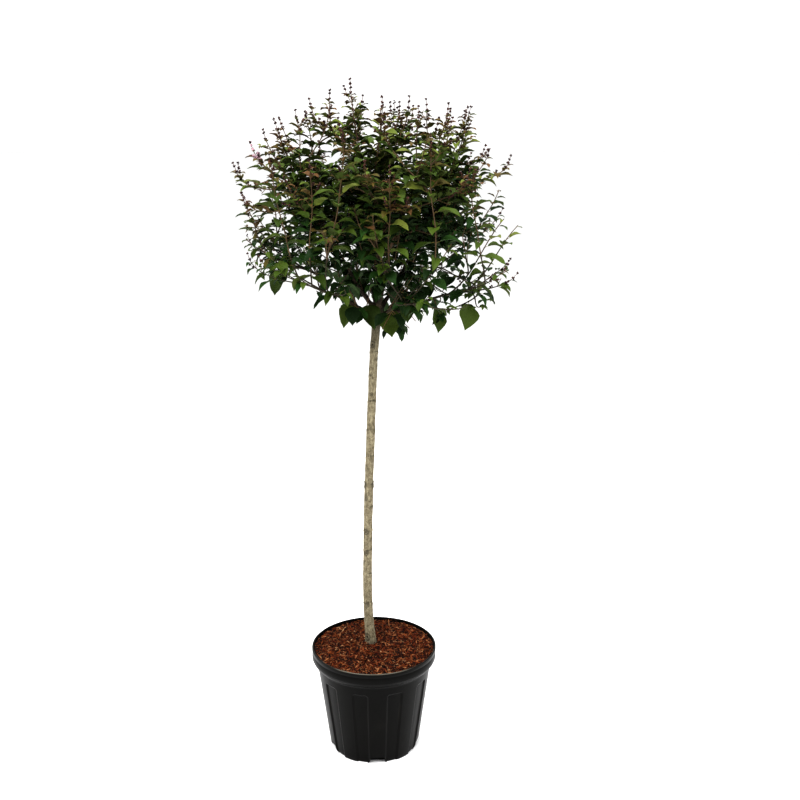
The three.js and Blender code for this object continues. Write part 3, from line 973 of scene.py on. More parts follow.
@dataclass
class Trunk:
    """The clear stem: its centre line, its taper and the relief of its bark."""

    line: tuple[Place, ...] = (
        (-0.009, 0.022, 0.2663), (-0.015, 0.020, 0.380), (-0.0115, 0.015, 0.640),
        (-0.003, 0.011, 0.860), (0.0045, 0.007, 1.020), (0.0135, 0.005, 1.122))
    low_radius: float = 0.0122
    high_radius: float = 0.0102
    flare: float = 0.0034
    flare_height: float = 0.026
    graft_radius: float = 0.0155
    graft_length: float = 0.030
    sunk: float = 0.004
    fissures: float = 0.0004
    swellings: float = 0.0007
    burrs: float = 0.0016
    sides: int = 64
    rings: int = 640
    scars: tuple[Scar, ...] = (
        Scar(0.283, 238, 0.0050), Scar(0.372, 262, 0.0032), Scar(0.513, 252, 0.0034),
        Scar(0.568, 245, 0.0036), Scar(0.655, 235, 0.0026), Scar(0.690, 182, 0.0056),
        Scar(0.690, 358, 0.0056), Scar(0.742, 40, 0.0036), Scar(0.861, 130, 0.0030),
        Scar(1.041, 238, 0.0042), Scar(1.005, 330, 0.0024), Scar(0.92, 262, 0.0022))
    joints: tuple[float, ...] = (
        0.372, 0.452, 0.518, 0.57, 0.632, 0.69, 0.76, 0.828, 0.9, 0.962, 1.02)
    lenticels: int = 420

    def fork(self) -> Array:
        """The middle of the graft, where the boughs leave."""
        return np.array(self.line[-1])

    def centre_line(self, steps: int) -> tuple[Array, Array]:
        """The centre line through its points, by even steps of its length.

        Args:
            steps: How many steps it is divided into.

        Returns:
            The points, and the share of the length at each.
        """
        knots = np.array(self.line)
        ends = np.concatenate([[2 * knots[0] - knots[1]], knots, [2 * knots[-1] - knots[-2]]])
        fine = []
        for i in range(len(knots) - 1):
            p0, p1, p2, p3 = ends[i:i + 4]
            d0, d1, d2 = (math.sqrt(length_of(b - a)) for a, b in ((p0, p1), (p1, p2), (p2, p3)))
            leave = ((p1 - p0) / d0 - (p2 - p0) / (d0 + d1) + (p2 - p1) / d1) * d1
            arrive = ((p2 - p1) / d1 - (p3 - p1) / (d1 + d2) + (p3 - p2) / d2) * d1
            t = np.linspace(0, 1, 60, endpoint=False)[:, None]
            bend = (2 * p1 - 2 * p2 + leave + arrive) * t**3
            fine.append(bend + (-3 * p1 + 3 * p2 - 2 * leave - arrive) * t**2 + leave * t + p1)
        fine = np.concatenate([*fine, knots[-1:]])
        walked = np.concatenate([[0], np.cumsum(np.linalg.norm(np.diff(fine, axis=0), axis=1))])
        shares = np.linspace(0, 1, steps + 1)
        points = [np.interp(shares * walked[-1], walked, fine[:, axis]) for axis in range(3)]
        return np.stack(points, axis=1), shares

    def radius_at(self, shares: Array) -> Array:
        """The radius with its flare at the foot, its slow taper and its swollen graft.

        Args:
            shares: Where it is asked for, as shares of the length.

        Returns:
            The radius at each.
        """
        span = self.line[-1][2] - self.line[0][2]
        height, below = shares * span, (1 - shares) * span
        graft = (self.graft_radius - self.high_radius) * bump_at(0, self.graft_length, below)
        taper = mix(self.low_radius, self.high_radius, shares)
        return taper + self.flare * np.exp(-height / self.flare_height) + graft

    def marks(self, heights: Array, angles: Array, radius: Array) -> tuple[Array, Array]:
        """The relief of scars, joints and lenticels, and how dark or pale each place is.

        Args:
            heights: The height of each point.
            angles: Its compass angle round the stem.
            radius: The stem's radius there.

        Returns:
            The relief in metres, and the shade as a share of the bark's own tone.
        """
        relief, shade = np.zeros(len(heights)), np.ones(len(heights))
        for scar in self.scars:
            turn = (angles - math.radians(scar.compass) + np.pi) % (2 * np.pi) - np.pi
            away = np.hypot(turn * radius, (heights - scar.height) * 0.85) / scar.radius
            hollow = bump_at(0, 0.6, away)
            relief += scar.radius * (0.32 * bump_at(1, 0.34, away) - 0.2 * hollow)
            shade *= 1 - 0.9 * hollow - 0.6 * bump_at(1.5, 0.4, away)
        source = np.random.default_rng(5)
        for joint in self.joints:
            tilt = 0.0016 * np.sin(angles + source.random() * 6)
            above = heights - joint - tilt
            swell, crease = bump_at(0, 0.0032, above), bump_at(0.0034, 0.0013, above)
            crease = crease * np.clip(0.6 + np.sin(2 * angles + 9 * source.random()), 0, 1)
            relief += 0.0007 * swell - 0.0003 * crease
            shade *= 1 - 0.7 * crease
        places = source.random((self.lenticels, 3)) * [0.85, 2 * np.pi, 1] + [0.27, -np.pi, 0]
        for height, compass, size in places:
            near = np.abs(heights - height) < 0.004
            turn = (angles[near] - compass + np.pi) % (2 * np.pi) - np.pi
            wide, tall = 0.0008 + 0.0011 * size, 0.0006 + 0.0003 * size
            spot = np.exp(-((turn * radius[near] / wide) ** 2) - ((heights[near] - height) / tall) ** 2)
            relief[near] += 0.00035 * spot
            shade[near] *= 1 + 0.28 * spot
        return relief, shade

    def build(self) -> None:
        """Makes the stem with its bark and dresses it."""
        path, shares = self.centre_line(self.rings)
        radii = self.radius_at(shares)
        top = unit(path[-1] - path[-2])
        rises = np.array([0.2, 0.38, 0.54, 0.68, 0.79, 0.88, 0.94, 0.98])
        path = np.concatenate([path, path[-1] + top * (self.graft_radius * rises)[:, None]])
        radii = np.concatenate([radii, self.graft_radius * np.sqrt(1 - rises**2)])
        path[0] -= UP * self.sunk
        flat = round_rings(path, radii, self.sides).reshape(-1, 3)
        outward = unit(flat - np.repeat(path, self.sides, axis=0))
        angles = np.arctan2(outward[:, 1], outward[:, 0])
        radius = np.repeat(radii, self.sides)
        relief, shade = self.marks(flat[:, 2], angles, radius)
        fissures = rough(flat * [1, 1, 0.16], 260, 4, 9.0)
        swelling = rough(flat * [1, 1, 0.5], 42, 3, 21.0)
        under = self.line[-1][2] - flat[:, 2]
        below = np.clip(under / (2 * self.graft_length), 0, 1)
        burr = rough(flat, 130, 3, 33.0) * (1 - below)
        relief += self.fissures * fissures + self.swellings * swelling + self.burrs * burr - 0.0005
        # Painted shade: darker in the fissures' hollows, and over the top 12 cm, under the head.
        shade *= np.clip(1 + 0.2 * fissures, 0.6, 1.2) * (0.3 + 0.7 * smooth_step(-0.01, 0.12, under))
        # Darker in the lowest 2 cm, towards the mulch.
        shade *= 0.66 + 0.34 * np.clip((flat[:, 2] - self.line[0][2]) / 0.02, 0, 1)
        skin = Skin()
        skin.add(flat + outward * relief[:, None], *tube_faces(len(path), self.sides))
        bark = BarkFinish("stem_bark", colour(80, 74, 58), colour(109, 101, 82), colour(132, 125, 105))
        piece = as_piece(skin.mesh("trunk_bark"), Slot.TRUNK, [bark.build()], 1.3, ["trunk"])
        hold_number(piece, "shade", shade)


@dataclass(frozen=True)
class Bough:
    """One bough: its name, compass angle, angle above level, length and drop below the fork."""

    name: str
    compass: float
    rise: float
    length: float
    drop: float

    def axis(self) -> Array:
        """The direction that its mass of twigs lies in."""
        return heading(math.radians(self.compass), math.radians(self.rise))

    def curve(self, fork: Array) -> Bezier:
        """Its line, which leaves the fork flatter than it goes on.

        Args:
            fork: The middle of the graft.

        Returns:
            The line.
        """
        turn, rise = math.radians(self.compass), math.radians(self.rise)
        sag = 0.0 if self.rise > 80 else math.radians(9)
        end = fork + self.axis() * self.length
        start = fork - UP * self.drop
        reach = length_of(end - start) * 0.35
        return Bezier(np.array([start, start + heading(turn, rise - sag) * reach,
                                end - heading(turn, rise + sag) * reach, end]))


BOUGHS = (
    Bough("leader", 120, 86, 0.125, 0.0),
    Bough("upper_1", 20, 56, 0.125, 0.002),
    Bough("upper_2", 108, 54, 0.120, 0.004),
    Bough("upper_3", 200, 55, 0.130, 0.003),
    Bough("upper_4", 288, 57, 0.125, 0.001),
    Bough("lower_1", -9, 13, 0.135, 0.012),
    Bough("lower_2", 50, 19, 0.120, 0.022),
    Bough("lower_3", 112, 20, 0.115, 0.009),
    Bough("lower_4", 174, 29, 0.140, 0.020),
    Bough("lower_5", 232, 18, 0.115, 0.008),
    Bough("lower_6", 292, 13, 0.110, 0.019),
)


@dataclass
class Boughs:
    """The eleven boughs as barked limbs that swell where they leave the graft."""

    fork: Array
    foot_radius: float = 0.0048
    end_radius: float = 0.0032
    collar: float = 0.0032
    collar_length: float = 0.012
    joint_apart: float = 0.034
    joint_length: float = 0.0024
    joint_swell: float = 0.0006
    grain: float = 0.00035
    sides: int = 28
    rings: int = 70

    def limb(self, bough: Bough, number: int) -> tuple[Array, Array]:
        """One bough's points and the shade of each.

        Args:
            bough: The bough.
            number: Its number, which moves its relief.

        Returns:
            Its points, ring by ring, and their shades.
        """
        shares = np.linspace(0, 1, self.rings)
        curve = bough.curve(self.fork)
        path = curve.at(shares)
        walked = shares * bough.length
        out = np.maximum(walked - self.collar_length, 0)
        radii = mix(self.foot_radius, self.end_radius, shares)
        radii = radii + self.collar * bump_at(0, self.collar_length, out)
        half = self.joint_apart / 2
        swell = bump_at(0, self.joint_length, np.abs((walked + half) % self.joint_apart - half))
        radii = radii + self.joint_swell * swell
        radii[-1] *= 0.8
        flat = round_rings(path, radii, self.sides).reshape(-1, 3)
        outward = unit(flat - np.repeat(path, self.sides, axis=0))
        grain = rough(flat, 300, 3, 50.0 + 7 * number)
        # Painted shade in the grain's hollows, and darker swollen joints.
        shade = np.clip(1 + 0.28 * grain, 0.6, 1.2) * np.repeat(1 - 0.25 * swell, self.sides)
        return flat + outward * (self.grain * grain)[:, None], shade

    def build(self) -> None:
        """Makes the boughs and dresses them."""
        skin, shades = Skin(), []
        for number, bough in enumerate(BOUGHS):
            points, shade = self.limb(bough, number)
            skin.add(points, *tube_faces(self.rings, self.sides))
            shades.append(shade)
        # Far darker than the trunk's bark: painted shade of the head over the boughs.
        bark = BarkFinish("bough_bark", colour(28, 22, 16), colour(47, 37, 27), colour(68, 57, 43), 60)
        names = [f"bough_{bough.name}" for bough in BOUGHS]
        piece = as_piece(skin.mesh("bough_bark"), Slot.BOUGH, [bark.build()], 1.3, names)
        hold_number(piece, "shade", np.concatenate(shades))


# ---------------------------------------- the rule of growth


@dataclass
class Twig:
    """A twig: the points along its middle, its radius at foot and tip, and its rank."""

    path: Array
    thick: float
    thin: float
    rank: Rank
    wedge: int
    tone: float
    budding: bool = False

    def __post_init__(self) -> None:
        """Measures the way along the path."""
        steps = np.linalg.norm(np.diff(self.path, axis=0), axis=1)
        self.walked = np.concatenate([[0], np.cumsum(steps)])
        self.length = float(self.walked[-1])

    def place(self, from_tip: float) -> tuple[Array, Array]:
        """A place on the twig.

        Args:
            from_tip: How far it lies from the tip.

        Returns:
            Its point, and the twig's direction there.
        """
        at = self.length - from_tip
        i = int(np.clip(np.searchsorted(self.walked, at) - 1, 0, len(self.path) - 2))
        share = (at - self.walked[i]) / (self.walked[i + 1] - self.walked[i])
        step = self.path[i + 1] - self.path[i]
        return self.path[i] + step * share, unit(step)


@dataclass(frozen=True)
class Lattice:
    """Even directions, their first turn, and how far out their tips lie as shares of the reach."""

    seed: int
    count: int
    turn: float
    low: float
    high: float


@dataclass
class Head:
    """The round head: where its shoots' tips lie, and which bough carries each."""

    fork: Array
    centre: Place = (0.020, 0.010, 1.270)
    reach: Place = (0.312, 0.288, 0.326)
    squareness: float = 2.8
    underside: float = 1.088
    slope: float = 0.4
    foot_radius: float = 0.105
    outer: Lattice = Lattice(1, 72, 0.0, 0.88, 1.0)
    inner: Lattice = Lattice(2, 90, 1.3, 0.3, 0.72)
    late: Lattice = Lattice(3, 260, 0.7, 0.8, 0.95)
    tip_room: float = 0.062
    inner_room: float = 0.14
    late_room: float = 0.08
    twig_bend: float = 0.33
    shoot_first: float = 0.1
    shoot_last: float = 0.6
    drawn_in: float = 0.08
    gap: float = 0.0003
    late_lift: float = 0.9
    clear_below: float = 0.055
    clear_aside: Pair = (0.4, 0.25)
    leafy: float = 0.76
    late_leading: tuple[Place, ...] = (
        (-0.300, 0.0, 1.432), (-0.283, -0.03, 1.372), (-0.262, 0.03, 1.335), (-0.27, -0.05, 1.24),
        (-0.207, 0.0, 1.525), (-0.16, -0.04, 1.55), (-0.132, 0.03, 1.572), (-0.089, -0.03, 1.588),
        (-0.02, 0.05, 1.583), (0.023, -0.02, 1.57), (0.052, 0.04, 1.566), (0.084, -0.01, 1.57),
        (0.126, 0.02, 1.565), (0.174, 0.0, 1.545), (0.219, 0.01, 1.56), (0.25, 0.03, 1.468),
        (0.035, -0.17, 1.53), (0.105, -0.13, 1.55), (0.17, -0.15, 1.53))
    hanging: tuple[Place, ...] = (
        (0.061, -0.04, 1.118), (0.125, -0.03, 1.132), (0.232, -0.02, 1.15), (0.0, -0.05, 1.135),
        (-0.189, -0.02, 1.2), (-0.035, -0.05, 1.15), (0.09, -0.06, 1.14))
    risers: tuple[Place, ...] = (
        (-0.05, -0.215, 1.50), (0.045, -0.235, 1.44), (0.13, -0.205, 1.49), (-0.12, -0.205, 1.45),
        (-0.21, -0.13, 1.46), (0.01, -0.25, 1.36), (0.22, -0.16, 1.42))
    leading: tuple[Place, ...] = (
        (-0.046, 0.0, 1.603), (-0.262, -0.010, 1.480), (-0.200, 0.030, 1.508), (0.204, 0.0, 1.550),
        (0.314, 0.020, 1.446), (0.326, -0.010, 1.325), (0.318, -0.045, 1.200), (-0.284, -0.005, 1.284))

    def reach_towards(self, direction: Array) -> float:
        """How far the head reaches from its centre in a direction."""
        return float(np.sum(np.abs(direction / self.reach) ** self.squareness) ** (-1 / self.squareness))

    def depth_of(self, point: Array) -> float:
        """How far out a point is, from 0 at the centre to 1 at the head's outline."""
        away = point - self.centre
        return length_of(away) / self.reach_towards(away / max(length_of(away), 1e-9))

    def underside_at(self, point: Array) -> float:
        """The height of the head's underside: it rises outwards, and more to the left."""
        across, span = (point - self.fork)[0], flat_length(point - self.fork)
        return self.underside + self.slope * (1 - 0.5 * (across / (span + 0.001))) * span

    def clear_at(self, point: Array) -> float:
        """The height below which only the main shoots reach."""
        out = (point - self.fork)[:2] * [1, -1]
        return self.underside_at(point) + self.clear_below + float(np.maximum(out, 0) @ self.clear_aside)

    def has_room(self, point: Array) -> bool:
        """Whether the smaller twigs may reach a point: not the outermost, and less far on top."""
        limit = self.leafy - 0.1 * step_at(1.42, 1.52, point[2])
        return self.depth_of(point) < limit and point[2] > self.clear_at(point)

    def spread(self, lattice: Lattice) -> Iterator[Array]:
        """The tips of a lattice.

        Args:
            lattice: The lattice.

        Yields:
            Each tip.
        """
        source = Seeded(lattice.seed)
        for k in range(lattice.count):
            z = 1 - (2 * k + 1) / lattice.count
            turn = k * math.pi * (3 - math.sqrt(5)) + lattice.turn
            flat = math.sqrt(1 - z * z)
            direction = np.array([flat * math.cos(turn), flat * math.sin(turn), z])
            reach = self.reach_towards(direction) * source.between(lattice.low, lattice.high)
            yield self.centre + direction * reach

    def tips(self) -> list[Array]:
        """Finds every main shoot's tip.

        Returns:
            The leading tips, and those of the lattice between them.
        """
        tips = [np.array(tip) for tip in self.leading]
        for tip in self.spread(self.outer):
            crowded = any(length_of(tip - lead) < self.tip_room for lead in self.leading)
            tip[2] = max(tip[2], self.underside_at(tip))
            over = flat_length(tip - self.fork) < self.foot_radius
            if not crowded and not (over and tip[2] < self.fork[2] + self.foot_radius):
                tips.append(tip)
        return tips

    def inner_tips(self) -> list[Array]:
        """Finds the tips of the shorter shoots that fill the head.

        Returns:
            The tips.
        """
        tips = []
        for tip in self.spread(self.inner):
            tip[2] = max(tip[2], self.underside_at(tip) + 0.02)
            if length_of(tip - self.fork) > self.inner_room:
                tips.append(tip)
        return tips

    def late_tips(self, tips: Sequence[Array]) -> list[Array]:
        """Finds the tips of the late shoots, which stand where the others leave room.

        Args:
            tips: Every other shoot's tip.

        Returns:
            The late tips.
        """
        late = [np.array(tip) for tip in (*self.risers, *self.late_leading)]
        for tip in self.spread(self.late):
            room = min(length_of(other - tip) for other in [*tips, *late])
            if room > self.late_room and tip[2] > self.clear_at(tip):
                late.append(tip)
        return late

    def wedge_of(self, point: Array) -> int:
        """The number of the bough whose direction is nearest."""
        return int(np.argmax([np.dot(bough.axis(), point - self.fork) for bough in BOUGHS]))

    def twig_curve(self, foot: Array, leaving: Array, tip: Array, lift: float = 0.5) -> Bezier:
        """A twig's curve, which turns up and outwards at its end.

        Args:
            foot: Where it begins.
            leaving: The direction that it leaves in.
            tip: Its tip.
            lift: How far it turns up.

        Returns:
            The curve.
        """
        reach = length_of(tip - foot) * self.twig_bend
        ending = unit(unit(tip - self.centre) * 0.55 + UP * lift)
        return Bezier(np.array([foot, foot + leaving * reach, tip - ending * reach, tip]))

    def shoot(self, stem: Bezier, share: float, tip: Array) -> Bezier:
        """A shoot's curve from a share of the stem to its tip."""
        start, ahead = stem.at(share), stem.heading_at(share)
        return self.twig_curve(start, unit(ahead * 0.5 + unit(tip - start) * 0.6), tip)

    def twigs(self, wedge: int, tips: Sequence[Array], inner: Sequence[Array]
              ) -> Iterator[tuple[Bezier, Rank]]:
        """The stem and the shoots of one mass, and the shorter shoots that fill it.

        Args:
            wedge: Their bough's number.
            tips: Every shoot's tip.
            inner: The tips of the shorter shoots.

        Yields:
            Each twig's curve and its rank.
        """
        axis = BOUGHS[wedge].axis()
        own = []
        for tip in tips:
            if self.wedge_of(tip) == wedge:
                direction = unit(tip - self.fork)
                drawn = unit(direction + (axis - direction) * self.drawn_in)
                own.append(self.fork + drawn * length_of(tip - self.fork))
        own.sort(key=lambda tip: -float(np.dot(unit(tip - self.fork), axis)))
        source = Seeded(100 + wedge)
        limb = BOUGHS[wedge].curve(self.fork)
        leaving = limb.heading_at(1.0)
        stem = self.twig_curve(limb.at(1.0) + leaving * self.gap, leaving, own[0])
        yield stem, Rank.STEM
        for i, tip in enumerate(own[1:]):
            share = mix(self.shoot_last, self.shoot_first, (i + source.draw()) / len(own))
            yield self.shoot(stem, share, tip), Rank.SHOOT
        for tip in inner:
            if self.wedge_of(tip) == wedge:
                yield self.shoot(stem, source.between(0.02, 0.55), tip), Rank.INNER


@dataclass(frozen=True)
class Spot:
    """A place on a twig: how far from the tip, its point, the twig's direction and its depth."""

    twig: Twig
    from_tip: float
    point: Array
    tangent: Array
    depth: float


@dataclass(frozen=True)
class LeafPlace:
    """Where one leaf grows, how long it is, its colour, and how far it hangs from 0 to 1."""

    point: Array
    side: Array
    tangent: Array
    length: float
    tint: Tint
    wedge: int
    depth: float
    hang: float


@dataclass
class Growth:
    """Grows the whole head: side twigs, leaves and spikes of buds on the rule's own twigs.

    Spans are distances from a twig's tip, and shares are chances from 0 to 1.
    """

    head: Head
    node_near: float = 0.016
    node_far: float = 0.031
    node_span: float = 0.13
    node_clear: float = 0.012
    young_end: float = 0.07
    sprig: float = 0.026
    sprig_span: Pair = (0.01, 0.085)
    sprig_share: float = 0.55
    spike_span: Pair = (0.008, 0.075)
    bud_depth: float = 0.78
    fallen_share: float = 0.62
    upright: Pair = (0.38, 0.62)
    shortest: float = 0.018
    fill_tries: int = 1500
    fill_room: float = 0.042
    tip_radius: float = 0.0008
    late_radius: float = 0.0017
    foot_radius: dict[Rank, float] = field(default_factory=lambda: {
        Rank.STEM: 0.0030, Rank.SHOOT: 0.0020, Rank.INNER: 0.0016})
    spike_share: float = 0.38
    spike_shares: dict[Rank, float] = field(default_factory=lambda: {
        Rank.INNER: 0.1, Rank.LATE: 0.34, Rank.SIDE: 0.06})
    source: Seeded = field(default_factory=lambda: Seeded(400))
    twigs: list[Twig] = field(default_factory=list)
    leaves: list[LeafPlace] = field(default_factory=list)
    spikes: list[Twig] = field(default_factory=list)

    def grow(self) -> None:
        """Grows every mass in turn, then the late shoots, the fill and the hanging leaves."""
        tips, inner = self.head.tips(), self.head.inner_tips()
        for wedge in range(len(BOUGHS)):
            self.source = Seeded(300 + wedge)
            for curve, rank in self.head.twigs(wedge, tips, inner):
                path = curve.at(np.linspace(0, 1, 30 if rank is Rank.STEM else 24))
                self.dress(path, self.foot_radius[rank], self.tip_radius, rank, wedge)
            self.spurs(wedge)
        self.source = Seeded(400)
        for number, tip in enumerate(self.head.late_tips(tips)):
            if number < len(self.head.risers):
                self.late_shoot(tip, Rank.RISER, 0.25)
            else:
                self.late_shoot(tip, Rank.LATE, 0.17)
        self.fill()
        self.hang_leaves()

    def hang_leaves(self) -> None:
        """Hangs the single large leaves of the lower edge on the twigs nearest to their places."""
        for place in np.array(self.head.hanging):
            spans = [np.linalg.norm(twig.path - place, axis=1) for twig in self.twigs]
            nearest = int(np.argmin([np.min(span) for span in spans]))
            twig, at = self.twigs[nearest], max(1, int(np.argmin(spans[nearest])))
            tangent = unit(twig.path[at] - twig.path[at - 1])
            side = unit(np.array([self.source.between(-0.5, 0.5), -1.0, 0.0]))
            length = self.source.between(0.058, 0.068)
            self.leaves.append(
                LeafPlace(twig.path[at], side, tangent, length, Tint.MID, twig.wedge, 1, 0.9))

    def fill(self) -> None:
        """Grows leafy shoots into the hollows that the others leave."""
        source, head = self.source, self.head
        grown = np.concatenate([twig.path for twig in self.twigs])
        for _ in range(self.fill_tries):
            way = heading(source.between(0, 2 * math.pi), math.asin(source.between(-0.8, 0.8)))
            tip = head.centre + way * (head.reach_towards(way) * source.between(0.3, 0.8) ** 0.6)
            if not head.has_room(tip):
                continue
            if np.min(np.linalg.norm(grown - tip, axis=1)) > self.fill_room:
                before = len(self.twigs)
                self.late_shoot(tip, Rank.INNER, 0.12)
                grown = np.concatenate([grown, *[twig.path for twig in self.twigs[before:]]])

    def late_shoot(self, tip: Array, rank: Rank, span: float) -> None:
        """Grows a shoot to a tip from the twig that lies best for it.

        Args:
            tip: The tip.
            rank: The shoot's rank.
            span: The distance from tip to foot that suits it best.
        """
        best, least = None, math.inf
        for twig in self.twigs:
            if twig.rank is Rank.SIDE:
                continue
            for from_tip in np.arange(self.young_end, twig.length - 0.02, 0.03):
                point, tangent = twig.place(from_tip)
                apart = length_of(tip - point)
                turned = math.acos(float(np.clip(np.dot(unit(tip - point), tangent), -1, 1)))
                cost = abs(apart - span) + 0.09 * abs(turned - 0.5)
                if rank is Rank.RISER:
                    cost += flat_length(tip - point)
                    cost += 0.3 * max(0.0, 0.8 - self.head.depth_of(point))
                if cost < least:
                    best, least = (twig, point, tangent), cost
        twig, point, tangent = best
        away, lift = unit(tangent * 0.6 + unit(tip - point) * 0.7), self.head.late_lift
        if rank is Rank.RISER:
            away, lift = unit(tangent * 0.25 + unit(tip - point)), 3 * lift
        shares = np.linspace(0, 1, 16)
        path = self.head.twig_curve(point, away, tip, lift).at(shares)
        sway = 0.0022 * np.sin(math.pi * shares) * np.sin(9 * shares + 40 * tip[0])
        path = path + sway[:, None] * np.array([1, 0.4, 0])
        self.dress(path, self.late_radius, self.tip_radius, rank, twig.wedge)

    def spurs(self, wedge: int) -> None:
        """Grows short spurs with large hanging leaves, and upright ones, along a bough.

        Args:
            wedge: The bough's number.
        """
        source, bough = self.source, BOUGHS[wedge]
        limb = bough.curve(self.head.fork)
        rightwards = step_at(-0.2, 0.3, math.cos(math.radians(bough.compass)))
        for share in (0.25, 0.38, 0.5, 0.62, 0.8, 1.0):
            upright = share in self.upright
            if not upright and (bough.rise > 40 or source.chance(0.75 - rightwards * (share - 0.15))):
                continue
            point, tangent = limb.at(share), limb.heading_at(share)
            side = unit(np.cross(tangent, UP + 0.01)) * (1 if source.chance(0.5) else -1)
            way = unit(side * 0.8 + tangent * 0.6 - UP * (source.between(0.1, 0.5) + 0.9 * rightwards))
            length = source.between(0.02, 0.04) + 0.03 * rightwards * share
            if upright:
                way = unit(side * source.between(0.2, 0.7) + tangent * 0.3 + UP * 0.9)
                length = source.between(0.06, 0.14)
            path = point + way * (np.linspace(0, 1, 8)[:, None] * length)
            self.dress(path, 0.0014, 0.0007, Rank.SIDE, wedge)

    def nodes(self, twig: Twig) -> Iterator[tuple[float, int]]:
        """The places on a twig where pairs of leaves grow.

        Args:
            twig: The twig.

        Yields:
            Each one's distance from the tip, and its number.
        """
        from_tip, number = 0.0015, 0
        closer = 0.85 if twig.rank is Rank.SIDE else 1
        clear = self.node_clear if twig.length > self.sprig else self.node_clear / 3
        while from_tip < twig.length - clear:
            yield from_tip, number
            spread = min(1.0, from_tip / self.node_span)
            from_tip += mix(self.node_near, self.node_far, spread) * closer
            number += 1

    def dress(self, path: Array, thick: float, thin: float, rank: Rank, wedge: int) -> None:
        """Grows a twig with its leaves, side twigs and spikes.

        Args:
            path: The points along its middle.
            thick: Its radius at its foot.
            thin: Its radius at its tip.
            rank: Its rank.
            wedge: Its bough's number.
        """
        source = self.source
        twig = Twig(path, thick, thin, rank, wedge, source.draw())
        self.twigs.append(twig)
        first_turn = source.draw() * math.pi
        twig.budding = self.in_bud(twig)
        if twig.budding:
            length = source.between(0.016, 0.028) * (1.15 if rank is Rank.STEM else 1)
            self.spike(path[-1], unit(twig.place(0)[1] + UP * 0.35), length, wedge)
        for from_tip, number in self.nodes(twig):
            point, tangent = twig.place(from_tip)
            spot = Spot(twig, from_tip, point, tangent, self.head.depth_of(point))
            base = unit(np.cross(np.array([0, 1, 0.3]), tangent))
            turn = first_turn + number * math.pi / 2 + source.between(-0.2, 0.2)
            for hand in (0.0, math.pi):
                self.dress_side(spot, turned_about(base, tangent, turn + hand))

    def dress_side(self, spot: Spot, side: Array) -> None:
        """Grows a leaf on one side of a twig, and a spike or a side twig above it.

        Args:
            spot: The place on the twig.
            side: The way out.
        """
        source, twig = self.source, spot.twig
        if source.chance(self.leaf_share(spot)):
            self.leaf(spot, side)
        spiky = twig.budding and self.spike_span[0] < spot.from_tip < self.spike_span[1]
        sprigs = (twig.budding and twig.rank in OUTER_RANKS
                  and self.sprig_span[0] < spot.from_tip < self.sprig_span[1])
        if spiky and source.chance(self.spike_shares.get(twig.rank, self.spike_share)):
            way = unit(side * 0.7 + spot.tangent * 0.8 + UP * 0.2)
            self.spike(spot.point, way, source.between(0.007, 0.017), twig.wedge)
        elif sprigs and source.chance(self.sprig_share):
            way = unit(side * 0.8 + spot.tangent * 0.8)
            length = source.between(0.45, 0.95) * self.sprig
            path = spot.point + way * (np.linspace(0, 1, 4)[:, None] * length)
            self.dress(path, self.tip_radius, 0.0006, Rank.SIDE, twig.wedge)
        elif self.branches(spot):
            self.side_twig(spot, side)

    def leaf_length(self, spot: Spot) -> float:
        """How long a leaf has grown.

        Args:
            spot: Its place on its twig.

        Returns:
            Its length.
        """
        ages, grown = [0, 0.02, 0.045, 0.08, 0.14, 0.25], [0.016, 0.026, 0.037, 0.045, 0.052, 0.058]
        if spot.twig.rank in (Rank.SIDE, Rank.INNER):
            ages, grown = [0, 0.02, 0.06, 0.13], [0.024, 0.038, 0.048, 0.055]
        length = float(np.interp(spot.from_tip, ages, grown))
        if spot.twig.length < self.sprig:
            length = self.source.between(0.012, 0.020)
        return length * self.source.between(0.78, 1.1)

    def tint_of(self, spot: Spot, hang: float) -> Tint:
        """The colour of a leaf, by its age at the tip, then darker deep inside and low down and lighter
        on top, as painted shade and light.

        Args:
            spot: Its place on its twig.
            hang: How far it hangs, from 0 to 1.

        Returns:
            The colour.
        """
        tone = 0.55 * spot.twig.tone + 0.45 * self.source.draw()
        young = math.exp(-((spot.from_tip / 0.062) ** 2)) * step_at(0.7, 0.88, spot.depth)
        if self.source.chance(0.88 * young * step_at(1.25, 1.4, spot.twig.path[-1][2])):
            return Tint.BRONZE
        # Painted light and shade: lighter tints on top and outside, darker ones deep inside, low down
        # and on hanging leaves.
        top = step_at(1.2, 1.5, spot.point[2])
        fresh_toplit = (0.02 + 0.7 * top) * step_at(0.5, 0.95, spot.depth) * (1 - hang)
        deep = 0.78 - 0.7 * step_at(0.45, 0.9, spot.depth)
        deep = deep * (1 - 0.8 * top) + 0.28 * (1 - top)
        if tone > 1 - fresh_toplit:
            return Tint.FRESH_TOPLIT
        return Tint.DEEP if tone < deep + 0.1 * hang else Tint.MID

    def leaf_share(self, spot: Spot) -> float:
        """The share of places that still hold their leaf: few low on the lowest shoots.

        Args:
            spot: The place.

        Returns:
            The share.
        """
        across, _, height = spot.point
        left = step_at(-0.14, -0.2, across)
        right = step_at(0.13, 0.18, across) * step_at(0.32, 0.26, across) * step_at(1.25, 1.18, height)
        low = max(self.lowness(spot.point) * (1 - 0.85 * left), 0.9 * right,
                  0.35 * left * step_at(1.34, 1.26, height))
        above_edge = height - self.head.underside_at(spot.point)
        bare = step_at(-0.02, -0.07, across) * step_at(0.06, 0.02, above_edge) * (1 - left)
        kept = 1 - 0.7 * bare
        if spot.twig.rank is Rank.RISER and spot.from_tip > 0.12:
            return 0.92
        if spot.twig.rank is Rank.SIDE or spot.from_tip < self.young_end:
            return (0.97 - 0.5 * low) * kept
        return (0.8 + 0.17 * step_at(0.35, 0.7, spot.depth)) * (1 - 0.68 * low) * kept

    def lowness(self, point: Array) -> float:
        """How far a place belongs to the open lower edge of the head, from 0 to 1."""
        apart = flat_length(point - self.head.fork)
        return step_at(0.03, -0.03, point[2] - self.head.clear_at(point)) * step_at(0.08, 0.14, apart)

